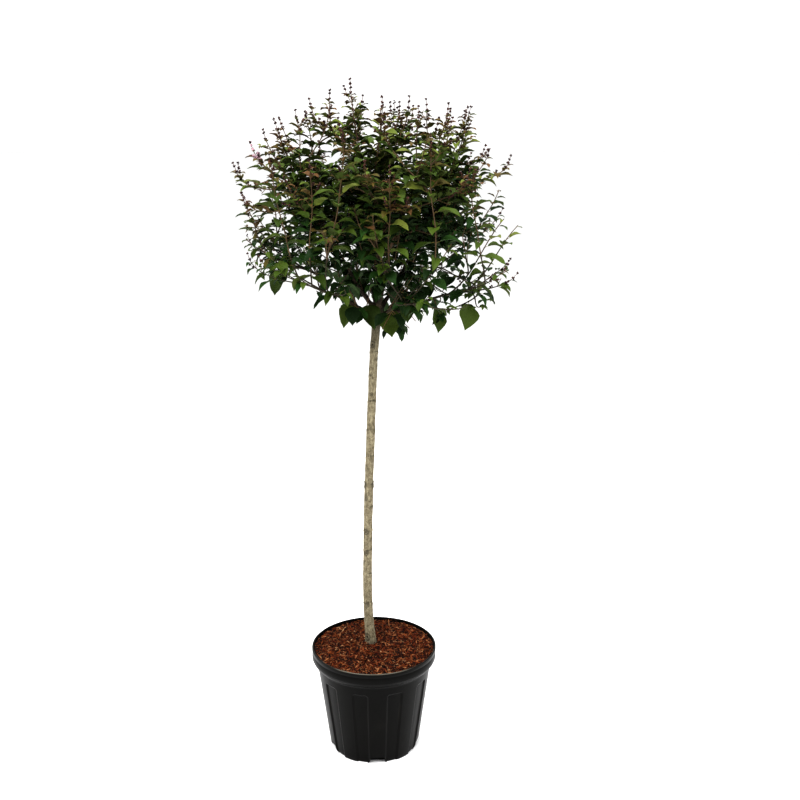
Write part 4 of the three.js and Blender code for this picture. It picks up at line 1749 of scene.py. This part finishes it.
    def leaf(self, spot: Spot, side: Array) -> None:
        """Places one leaf, unless it is one of those that the lower edge has lost.

        Args:
            spot: Its place on its twig.
            side: The way out.
        """
        point = spot.point
        near = step_at(0.17, 0.08, flat_length(point - self.head.fork))
        hang = step_at(0.10, 0.03, point[2] - self.head.underside_at(point)) * (0.1 + 0.9 * near)
        if hang > 0.5 and self.source.chance(self.fallen_share):
            return
        tint = self.tint_of(spot, hang)
        length = self.leaf_length(spot) * (1 + 0.3 * hang - 0.08 * self.lowness(point))
        self.leaves.append(
            LeafPlace(point, side, spot.tangent, length, tint, spot.twig.wedge, spot.depth, hang))

    def in_bud(self, twig: Twig) -> bool:
        """Whether a twig ends in a spike of buds: most do on top, fewer low down.

        Args:
            twig: The twig.

        Returns:
            Whether it does.
        """
        tip, head = twig.path[-1], self.head
        aside = step_at(0.5, 0.85, abs(tip[0] - head.centre[0]) / head.reach[0])
        share = max(step_at(1.32, 1.44, tip[2]), 0.5 * aside * step_at(1.1, 1.2, tip[2]))
        share = 0.95 * share * (1 if twig.rank in OUTER_RANKS else 0.3)
        return head.depth_of(tip) > self.bud_depth and self.source.chance(share)

    def branches(self, spot: Spot) -> bool:
        """Whether a side twig grows at a place.

        Args:
            spot: The place.

        Returns:
            Whether it does.
        """
        if spot.from_tip < self.young_end or spot.twig.length - spot.from_tip < 0.02:
            return False
        if spot.twig.rank is Rank.SIDE:
            return self.source.chance(0.12)
        return self.source.chance(0.42 - 0.4 * step_at(0.55, 0.74, spot.depth))

    def side_twig(self, spot: Spot, side: Array) -> None:
        """Grows one side twig, cut back until it keeps within the head.

        Args:
            spot: Its place on its twig.
            side: The way out.
        """
        point, tangent = spot.point, spot.tangent
        longest = 0.06 if spot.twig.rank is Rank.SIDE else 0.17
        length = self.source.between(0.35, 1.0) * min(longest, 0.03 + spot.from_tip * 0.7)
        start_way = unit(side * 0.85 + tangent * 0.6 + UP * 0.1)
        outward = unit(point - self.head.centre)
        end_way = unit(outward * 0.4 + UP * 0.85 + tangent * 0.25 + side * 0.2)
        for _ in range(4):
            tip = point + (start_way * 0.45 + end_way * 0.55) * length
            if self.head.has_room(tip):
                break
            length *= 0.7
        else:
            return
        if length < self.shortest:
            return
        bend = length * 0.36
        curve = Bezier(np.array([point, point + start_way * bend, tip - end_way * bend, tip]))
        self.dress(curve.at(np.linspace(0, 1, 9)), 0.0012, 0.0006, Rank.SIDE, spot.twig.wedge)

    def spike(self, foot: Array, way: Array, length: float, wedge: int) -> None:
        """Grows the slender stalk of one spike of buds.

        Args:
            foot: Where it begins.
            way: The direction that it leaves in.
            length: Its length.
            wedge: Its bough's number.
        """
        sway = unit(np.cross(way, np.array([0.3, 1, 0.2]))) * self.source.between(-0.12, 0.12)
        shares = np.linspace(0, 1, 6)[:, None]
        path = foot + (way * shares + sway * shares * shares + UP * 0.12 * shares**2) * length
        self.spikes.append(Twig(path, 0.00065, 0.00045, Rank.SIDE, wedge, self.source.draw()))


# ---------------------------------------- twigs, leaves and buds


@dataclass
class TwigWood:
    """The twigs as tubes that swell at each pair of leaves, the young ones apart."""

    growth: Growth
    old_sides: int = 7
    young_sides: int = 5
    swell: float = 0.3
    old_and_shaded_below: float = 1.27
    leaf_bud: tuple[Pair, ...] = ((0.0012, 0.0011), (0.0026, 0.0009), (0.0042, 0.0002))

    def swollen(self, twig: Twig) -> tuple[Array, Array]:
        """The points of a twig with its joints, and its radius at each.

        Args:
            twig: The twig.

        Returns:
            Its points and radii, from foot to tip.
        """
        even = np.linspace(0, twig.length, max(4, int(twig.length / 0.011)))
        joints = np.array([twig.length - at for at, _ in self.growth.nodes(twig)])
        around = np.concatenate([joints - 0.0022, joints, joints + 0.0022])
        around = around[(around > 0.001) & (around < twig.length - 0.001)]
        at = np.unique(np.concatenate([even, around]).round(5))
        path = np.stack([np.interp(at, twig.walked, twig.path[:, k]) for k in range(3)], axis=1)
        radii = twig.thick + (twig.thin - twig.thick) * (at / twig.length) ** 0.85
        near = np.min(np.abs(at[:, None] - joints[None]), axis=1) if len(joints) else at * 0 + 1
        radii = radii * (1 + self.swell * (near < 0.0008))
        if not twig.budding:
            way = unit(path[-1] - path[-2])
            steps, sizes = zip(*self.leaf_bud)
            path = np.concatenate([path, path[-1] + way * np.array(steps)[:, None]])
            radii = np.concatenate([radii, sizes])
        return path, radii

    def build(self) -> None:
        """Makes the old wood, the young wood and the buds' stalks."""
        old, young, stalks = Skin(), Skin(), Skin()
        for twig in self.growth.twigs:
            path, radii = self.swollen(twig)
            if twig.rank is Rank.SIDE:
                young.add_tube(path, radii, self.young_sides)
            else:
                # Below this height the wood takes its darker finish: older wood, and painted shade under
                # the head.
                low = int(np.sum(path[:, 2] < self.old_and_shaded_below))
                if low > 1:
                    old.add_tube(path[:low], radii[:low], self.old_sides, 1)
                if low < len(path) - 1:
                    high = max(low - 1, 0)
                    old.add_tube(path[high:], radii[high:], self.old_sides)
        for spike in self.growth.spikes:
            radii = np.linspace(spike.thick, spike.thin, len(spike.path))
            stalks.add_tube(spike.path, radii, 4)
        wood = LivingFinish("shoot_bark", colour(80, 63, 45), 0.3, 900, 0.0004, 0.2)
        # The low wood's darker tone: older bark and painted shade.
        stem = LivingFinish("shoot_bark_old_and_shaded", colour(46, 40, 27), 0.3, 900, 0.0004, 0.2)
        red = LivingFinish("young_shoot", colour(84, 64, 40), 0.4, 900, 0.0002, 0.2)
        plum = LivingFinish("bud_stalk", colour(80, 52, 42), 0.4, 900, 0.0001, 0.2)
        masses = [f"mass_{bough.name}" for bough in BOUGHS]
        as_piece(old.mesh("shoots"), Slot.FOLIAGE, [wood.build(), stem.build()], 1.4, masses)
        as_piece(young.mesh("side_twigs"), Slot.FOLIAGE, [red.build()], 1.4)
        as_piece(stalks.mesh("bud_stalks"), Slot.FOLIAGE, [plum.build()], 1.6)


@dataclass(frozen=True)
class LeafForm:
    """A pointed leaf folded along its midrib, as a thin closed body of unit length."""

    stations: tuple[float, ...] = (0.035, 0.11, 0.22, 0.36, 0.51, 0.66, 0.8, 0.91)
    strips: int = 2
    width: float = 0.62
    widest: float = 0.36
    shoulder: float = 0.62
    thickness: float = 0.00045

    def half_width(self, share: float) -> float:
        """Half the leaf's width, for a length of one.

        Args:
            share: The share of its length, from base to tip.

        Returns:
            The half width there.
        """
        rise = (share / self.widest) ** self.shoulder
        rest = self.shoulder * (1 - self.widest) / self.widest
        fall = ((1 - share) / (1 - self.widest)) ** rest
        drawn = 1 - 0.3 * math.exp(-(((share - 0.94) / 0.06) ** 2))
        return self.width / 2 * rise * fall * drawn

    def across(self) -> Array:
        """The places across the upper face, from edge to edge."""
        return np.linspace(-1, 1, 2 * self.strips + 1)

    def faces(self) -> tuple[Array, Array]:
        """The leaf's faces as triangles.

        Returns:
            The faces, and the side of each: 0 above and 1 below.
        """
        wide, deep, rows = 2 * self.strips + 1, 2 * self.strips - 1, len(self.stations)
        upper = np.arange(rows * wide).reshape(rows, wide)
        lower = upper.copy()
        lower[:, 1:-1] = rows * wide + np.arange(rows * deep).reshape(rows, deep)
        base = rows * (wide + deep)
        faces = []
        for grid, step in ((upper, 1), (lower, -1)):
            for left, right in zip(grid.T, grid.T[1:]):
                strip = [(base, right[0], left[0]), (base + 1, left[-1], right[-1])]
                for a, b, c, d in zip(left, right, right[1:], left[1:]):
                    strip += [(a, b, c), (a, c, d)]
                faces += [face[::step] for face in strip]
        return np.array(faces), np.repeat([0, 1], len(faces) // 2)

    def points(self, at: dict[str, Array]) -> Array:
        """The points of many leaves.

        Args:
            at: For each leaf where its blade begins (base), the direction that it leaves in
                (along) and that its upper face looks in (facing), its length, its share of the
                form's breadth, the angle that it bends back by (arch) and its halves are folded
                up by (fold), and the phase of the waves along its edges (wave).

        Returns:
            The points, by leaf, then by point.
        """
        base, along, facing, length = at["base"], at["along"], at["facing"], at["length"]
        arch, fold, wave = at["arch"], at["fold"], at["wave"]
        across = np.cross(facing, along)
        spots = [0.0, *self.stations, 1.0]
        middle = base.copy()
        upper, lower, ends = [], [], []
        for i, share in enumerate(spots):
            bend = (arch * (share**1.25) - 0.12)[:, None]
            if i:
                before = spots[i - 1]
                mean = (arch * (((share + before) / 2) ** 1.25) - 0.12)[:, None]
                step = along * np.cos(mean) - facing * np.sin(mean)
                middle = middle + step * ((share - before) * length)[:, None]
            normal = along * np.sin(bend) + facing * np.cos(bend)
            if share in (0.0, 1.0):
                ends.append(middle)
                continue
            half = self.half_width(share) * length * at["breadth"]
            for place in self.across():
                rise = abs(place) * (1 - 0.4 * abs(place)) * np.sin(fold)
                ripple = 0.16 * abs(place) ** 3 * np.sin(wave + 9.0 * share + 1.7 * place)
                point = middle + across * (place * half * np.cos(fold * 0.8))[:, None]
                point = point + normal * ((rise + ripple) * half)[:, None]
                upper.append(point)
                if abs(place) < 1:
                    lower.append(point - normal * self.thickness)
        return np.stack(upper + lower + ends, axis=1)


@dataclass
class Foliage:
    """The leaves, each tint in pieces of its own, and their stalks."""

    growth: Growth
    stalk_share: float = 0.2
    small: float = 0.021
    grain: Pair = (260.0, 0.0012)
    droop: Pair = (-0.8, -0.1)
    low_droop: float = 0.5
    hanging: float = 1.5
    arch: Pair = (0.7, 1.4)
    breadth: Pair = (0.84, 1.08)
    fold: Pair = (0.45, 0.95)
    inner_depth: float = 0.5
    inner_height: float = 1.17
    large: LeafForm = LeafForm()
    plain: LeafForm = LeafForm(stations=(0.08, 0.26, 0.48, 0.7, 0.88), strips=1)
    little: LeafForm = LeafForm(stations=(0.12, 0.36, 0.66, 0.88), strips=1, thickness=0.0004)

    def frames(self, leaves: Sequence[LeafPlace]) -> dict[str, Array]:
        """Where each leaf's stalk and blade lie.

        Args:
            leaves: The leaves' places.

        Returns:
            Arrays by name: foot, bend, base, along, facing, length, arch, breadth, depth, fold
            and wave.
        """
        source = np.random.default_rng(23 + len(leaves))
        names = ("point", "side", "tangent", "length", "depth", "hang")
        columns = [np.array([getattr(leaf, name) for leaf in leaves]) for name in names]
        point, side, tangent, length, depth, hang = columns
        outward = unit(point - self.growth.head.fork)
        leaving = unit(side * 0.75 + tangent * 0.75)
        level = (side * 0.9 + tangent * 0.35 + outward * 0.15) * [1, 1, 0.0]
        droop = source.uniform(*self.droop, len(leaves)) + self.hanging * hang
        droop = droop + self.low_droop * smooth_step(0.0, 0.2, 1.4 - point[:, 2])
        along = unit(unit(level) - UP * droop[:, None] + source.normal(0, 0.1, point.shape))
        facing = UP + outward * 0.25 + source.normal(0, 0.16, point.shape)
        facing = unit(facing - along * np.sum(facing * along, axis=-1, keepdims=True))
        stalk = (self.stalk_share * length)[:, None]
        bend = point + leaving * stalk * 0.55
        return {"foot": point, "bend": bend, "base": bend + along * stalk * 0.55, "along": along,
                "facing": facing, "length": length,
                "arch": source.uniform(*self.arch, len(leaves)) * (1 - 0.6 * hang),
                "breadth": source.uniform(*self.breadth, len(leaves)) * (1 + 0.42 * hang),
                "depth": depth,
                "fold": source.uniform(*self.fold, len(leaves)) * (1 - 0.5 * hang),
                "wave": source.uniform(0, 6.28, len(leaves))}

    def add_leaves(self, skin: Skin, leaves: Sequence[LeafPlace], shades: int) -> dict[str, Array]:
        """Adds leaves to a skin: the large and outer ones in a finer form.

        Args:
            skin: The skin that takes them.
            leaves: Their places.
            shades: How many shades they are dealt out in, each with its underside.

        Returns:
            Where each leaf lies, as frames gives it.
        """
        at = self.frames(leaves)
        shade = 2 * np.random.default_rng(41).integers(0, shades, len(leaves))
        tiny = at["length"] < self.small
        inner = ~tiny & (at["depth"] < self.inner_depth) & (at["foot"][:, 2] > self.inner_height)
        for form, chosen in ((self.large, ~tiny & ~inner), (self.plain, inner), (self.little, tiny)):
            if not np.any(chosen):
                continue
            part = {name: values[chosen] for name, values in at.items()}
            faces, sides = form.faces()
            skin.add_copies(form.points(part), faces, shade[chosen][:, None] + sides[None])
        return at

    def add_stalks(self, skin: Skin, at: dict[str, Array]) -> None:
        """Adds the leaves' stalks, three-sided and bent once.

        Args:
            skin: The skin that takes them.
            at: Where each leaf lies, as frames gives it.
        """
        across = np.cross(at["along"], at["facing"])
        thick = np.clip(at["length"] * 0.014, 0.0003, 0.0008)[:, None]
        rings = []
        ends = at["base"] + at["along"] * 0.002
        for place, size in ((at["foot"], 1.3), (at["bend"], 0.9), (ends, 0.7)):
            for turn in (math.pi / 2, math.pi * 7 / 6, math.pi * 11 / 6):
                way = across * math.cos(turn) + at["facing"] * math.sin(turn)
                rings.append(place + way * thick * size)
        faces = ring_faces(3, 3)
        triangles = np.concatenate([faces[:, [0, 1, 2]], faces[:, [0, 2, 3]], [[0, 2, 1], [6, 7, 8]]])
        skin.add_copies(np.stack(rings, axis=1), triangles)

    def build(self) -> None:
        """Makes the leaves of each tint, by three tones of upper face and underside, and the stalks."""
        tones = {
            # The tints run dark to light partly as painted shade and light.
            Tint.DEEP: ((19, 38, 10, 35, 51, 25), (25, 49, 14, 41, 58, 29), (35, 61, 21, 50, 68, 36)),
            Tint.MID: ((43, 58, 15, 56, 68, 29), (51, 67, 18, 64, 76, 33), (58, 73, 22, 71, 81, 37)),
            Tint.FRESH_TOPLIT: ((69, 82, 27, 84, 94, 46), (78, 88, 33, 92, 100, 52),
                         (90, 97, 42, 102, 106, 59)),
            Tint.BRONZE: ((72, 60, 25, 84, 75, 42), (65, 59, 23, 80, 75, 41), (78, 56, 31, 87, 69, 44)),
        }
        parts = {"upper": range(5), "lower": range(5, len(BOUGHS))}
        stalks = Skin()
        for tint, shades in tones.items():
            finishes = []
            for number, screen in enumerate(shades, 1):
                name = f"leaf_{tint.value}_{number}"
                above, below = colour(*screen[:3]), colour(*screen[3:])
                finishes += [LivingFinish(name, above, 0.45, *self.grain).build(),
                             LivingFinish(f"{name}_under", below, 0.3, *self.grain).build()]
            for part, wedges in parts.items():
                leaves = [leaf for leaf in self.growth.leaves
                          if leaf.tint is tint and leaf.wedge in wedges]
                skin = Skin()
                self.add_stalks(stalks, self.add_leaves(skin, leaves, len(shades)))
                as_piece(skin.mesh(f"leaves_{tint.value}_{part}"), Slot.FOLIAGE, finishes, 1.5)
        stalk = LivingFinish("leaf_stalk", colour(102, 92, 50), 0.4, 900, 0.0001)
        as_piece(stalks.mesh("leaf_stalks"), Slot.FOLIAGE, [stalk.build()], 1.6)


@dataclass
class Buds:
    """The flower buds: beads in clusters up each spike, and one spike that begins to open."""

    growth: Growth
    first: float = 0.006
    apart: float = 0.0105
    bead: float = 0.0016
    beads: tuple[int, int] = (5, 9)
    out: float = 0.0019
    plum_share: float = 0.35
    open_near: Place = (-0.262, -0.010, 1.480)
    open_room: float = 0.032
    open_share: float = 0.3

    def bead_form(self) -> tuple[Array, Array]:
        """A round bead of radius one.

        Returns:
            Its points and its twenty faces.
        """
        ball = bmesh.new()
        bmesh.ops.create_icosphere(ball, subdivisions=1, radius=1)
        points = np.array([vert.co[:] for vert in ball.verts])
        faces = np.array([[vert.index for vert in face.verts] for face in ball.faces])
        ball.free()
        return points, faces

    def clusters(self, spike: Twig) -> Iterator[tuple[Array, Array, float]]:
        """The clusters on one spike.

        Args:
            spike: The spike's stalk.

        Yields:
            For each cluster its middle, the stalk's direction and its share of the full size.
        """
        at = self.first
        while at < spike.length - 0.004:
            point, way = spike.place(spike.length - at)
            yield point, way, 1.3 - 0.35 * at / spike.length
            at += self.apart * (0.75 + 0.6 * spike.tone)
        point, way = spike.place(0)
        yield point, way, 1.0

    def build(self) -> None:
        """Makes the beads in two tones, and the open florets."""
        source = np.random.default_rng(77)
        ball, faces = self.bead_form()
        beads: list[tuple[Array, float, int]] = []
        petals: list[tuple[Array, Array]] = []
        for spike in self.growth.spikes:
            flowering = length_of(spike.path[-1] - self.open_near) < self.open_room
            for point, way, size in self.clusters(spike):
                side = unit(np.cross(way, np.array([0.4, 1.0, 0.2])))
                over = np.cross(way, side)
                count, start = int(source.integers(*self.beads)), source.random() * 6.28
                for k in range(count):
                    turn = start + 2 * math.pi * k / count + source.normal(0, 0.2)
                    out = side * math.cos(turn) + over * math.sin(turn)
                    away = self.out * size * source.uniform(0.5, 1.25)
                    middle = point + out * away + way * source.normal(0.0004, 0.0011)
                    if flowering and source.random() < self.open_share:
                        petals.append((middle + out * 0.0015, unit(out + way * 0.5)))
                    else:
                        radius = self.bead * size * source.uniform(0.75, 1.15)
                        beads.append((middle, radius, int(source.random() < self.plum_share)))
        tones = {"dark": colour(38, 23, 23), "plum": colour(72, 46, 40)}
        for number, (name, tone) in enumerate(tones.items()):
            chosen = [middle + ball * size for middle, size, kind in beads if kind == number]
            skin = Skin()
            skin.add_copies(np.array(chosen), faces)
            sheen = LivingFinish(f"bud_{name}", tone, 0.5, 1200, 0.0001)
            as_piece(skin.mesh(f"buds_{name}"), Slot.FOLIAGE, [sheen.build()], 2.0)
        self.florets(petals)

    def florets(self, places: Sequence[tuple[Array, Array]]) -> None:
        """Makes open flowers, each of four petals on a short tube.

        Args:
            places: For each flower its middle and the direction that it faces.
        """
        skin = Skin()
        for middle, way in places:
            side = unit(np.cross(way, np.array([0.2, 0.9, 0.4])))
            over = np.cross(way, side)
            for k in range(4):
                turn = math.pi / 2 * k + 0.3
                out = side * math.cos(turn) + over * math.sin(turn)
                broad = np.cross(way, out)
                rows = [(0.0003, 0.0003, 0.0), (0.0018, 0.0011, 0.0006), (0.0034, 0.0007, 0.0002)]
                flat = [middle + out * far + broad * half * hand + way * up
                        for far, half, up in rows for hand in (-1, 1)]
                points = np.array(flat + [p - way * 0.0003 for p in flat])
                quads = np.array([(0, 1, 3, 2), (2, 3, 5, 4), (6, 8, 9, 7), (8, 10, 11, 9),
                                  (0, 2, 8, 6), (2, 4, 10, 8), (1, 7, 9, 3), (3, 9, 11, 5),
                                  (0, 6, 7, 1), (4, 5, 11, 10)])
                skin.add(points, quads[:, ::-1])
            tube = np.array([middle - way * 0.005, middle + way * 0.0003])
            skin.add_tube(tube, np.array([0.0005, 0.0007]), 5)
        if places:
            pink = LivingFinish("floret_pink", colour(168, 138, 148), 0.35, 900, 0.0001)
            as_piece(skin.mesh("florets"), Slot.FOLIAGE, [pink.build()], 1.0)


# ---------------------------------------- studio


@dataclass(frozen=True)
class Lamp:
    """A soft lamp: its name, its place, where it shines, its face's side and its power in watts."""

    name: str
    place: Place
    aim: Place
    size: float
    power: float

    def hang(self) -> None:
        """Hangs it in the scene."""
        data = bpy.data.lights.new(self.name, "AREA")
        data.size, data.energy = self.size, self.power
        lamp = placed(self.name, data)
        lamp.location = self.place
        lamp.rotation_mode = "QUATERNION"
        lamp.rotation_quaternion = (Vector(self.aim) - Vector(self.place)).to_track_quat("-Z", "Y")


@dataclass
class Studio:
    """The pale floor, the soft light and the camera."""

    lens: float = 48.2
    sensor: float = 36.0
    camera_place: Place = (0.0658, -2.4645, 1.5466)
    camera_tilt: float = math.radians(75.43)
    floor_radius: float = 60.0
    surround: float = 1.12
    contrast: float = 0.8
    lamps: tuple[Lamp, ...] = (
        Lamp("lamp_key", (-1.4, -2.2, 3.3), (0, 0, 1.1), 1.4, 134),
        Lamp("lamp_top", (0.2, -0.3, 3.9), (0, 0, 1.2), 1.8, 150),
        Lamp("lamp_fill", (2.4, -2.2, 1.8), (0, 0, 0.9), 1.8, 45),
        Lamp("lamp_left", (-2.6, 0.2, 1.3), (0, 0, 0.6), 0.9, 18),
        Lamp("lamp_right", (2.5, 0.3, 1.3), (0, 0, 0.6), 0.9, 14),
        Lamp("lamp_back", (-0.5, 2.9, 2.7), (0, 0, 1.1), 1.6, 45))

    def camera(self) -> None:
        """Stands the camera before the plant, looking a little down."""
        data = bpy.data.cameras.new("camera")
        data.lens, data.sensor_width = self.lens, self.sensor
        data.clip_end = 200
        stand = placed("camera", data)
        stand.location = self.camera_place
        stand.rotation_euler = (self.camera_tilt, 0, 0)
        bpy.context.scene.camera = stand

    def floor(self) -> None:
        """Lays a plain pale floor that runs to the horizon."""
        disc = bmesh.new()
        bmesh.ops.create_circle(disc, cap_ends=True, segments=96, radius=self.floor_radius)
        mesh = bpy.data.meshes.new("floor")
        disc.to_mesh(mesh)
        disc.free()
        recipe = Recipe("studio_floor")
        recipe.shade(Base_Color=(0.9, 0.9, 0.9, 1), Roughness=0.9, Specular_IOR_Level=0.1)
        mesh.materials.append(recipe.material)
        placed("floor", mesh)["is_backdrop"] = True

    def build(self) -> None:
        """Makes the camera, floor, lamps and surround."""
        self.camera()
        self.floor()
        for lamp in self.lamps:
            lamp.hang()
        world = bpy.data.worlds.new("surround")
        world.use_nodes = True
        sky = world.node_tree.nodes["Background"]
        sky.inputs["Color"].default_value = (1, 1, 1, 1)
        sky.inputs["Strength"].default_value = self.surround
        bpy.context.scene.world = world
        bpy.context.scene.view_settings.view_transform = "Standard"
        bpy.context.scene.view_settings.gamma = self.contrast
        log.info("studio: built")


def write_sizes() -> None:
    """Logs the box of the solids and the box of the dressed model."""
    boxes = {"cad": CAD_BOX, "visual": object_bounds()}
    plain = {name: [list(corner) for corner in box] for name, box in boxes.items()}
    log.info("sizes: %s", plain)


def main() -> None:
    """Builds the studio and then the plant, from the pot up."""
    Studio().build()
    Pot().build()
    Soil().build()
    Mulch().build()
    trunk = Trunk()
    trunk.build()
    Boughs(trunk.fork()).build()
    growth = Growth(Head(trunk.fork()))
    growth.grow()
    log.info("head: %d twigs, %d leaves, %d spikes", len(growth.twigs), len(growth.leaves),
             len(growth.spikes))
    TwigWood(growth).build()
    Foliage(growth).build()
    Buds(growth).build()
    write_sizes()


if __name__ == "__main__":
    logging.basicConfig(level=logging.INFO, format="%(message)s")
    main()
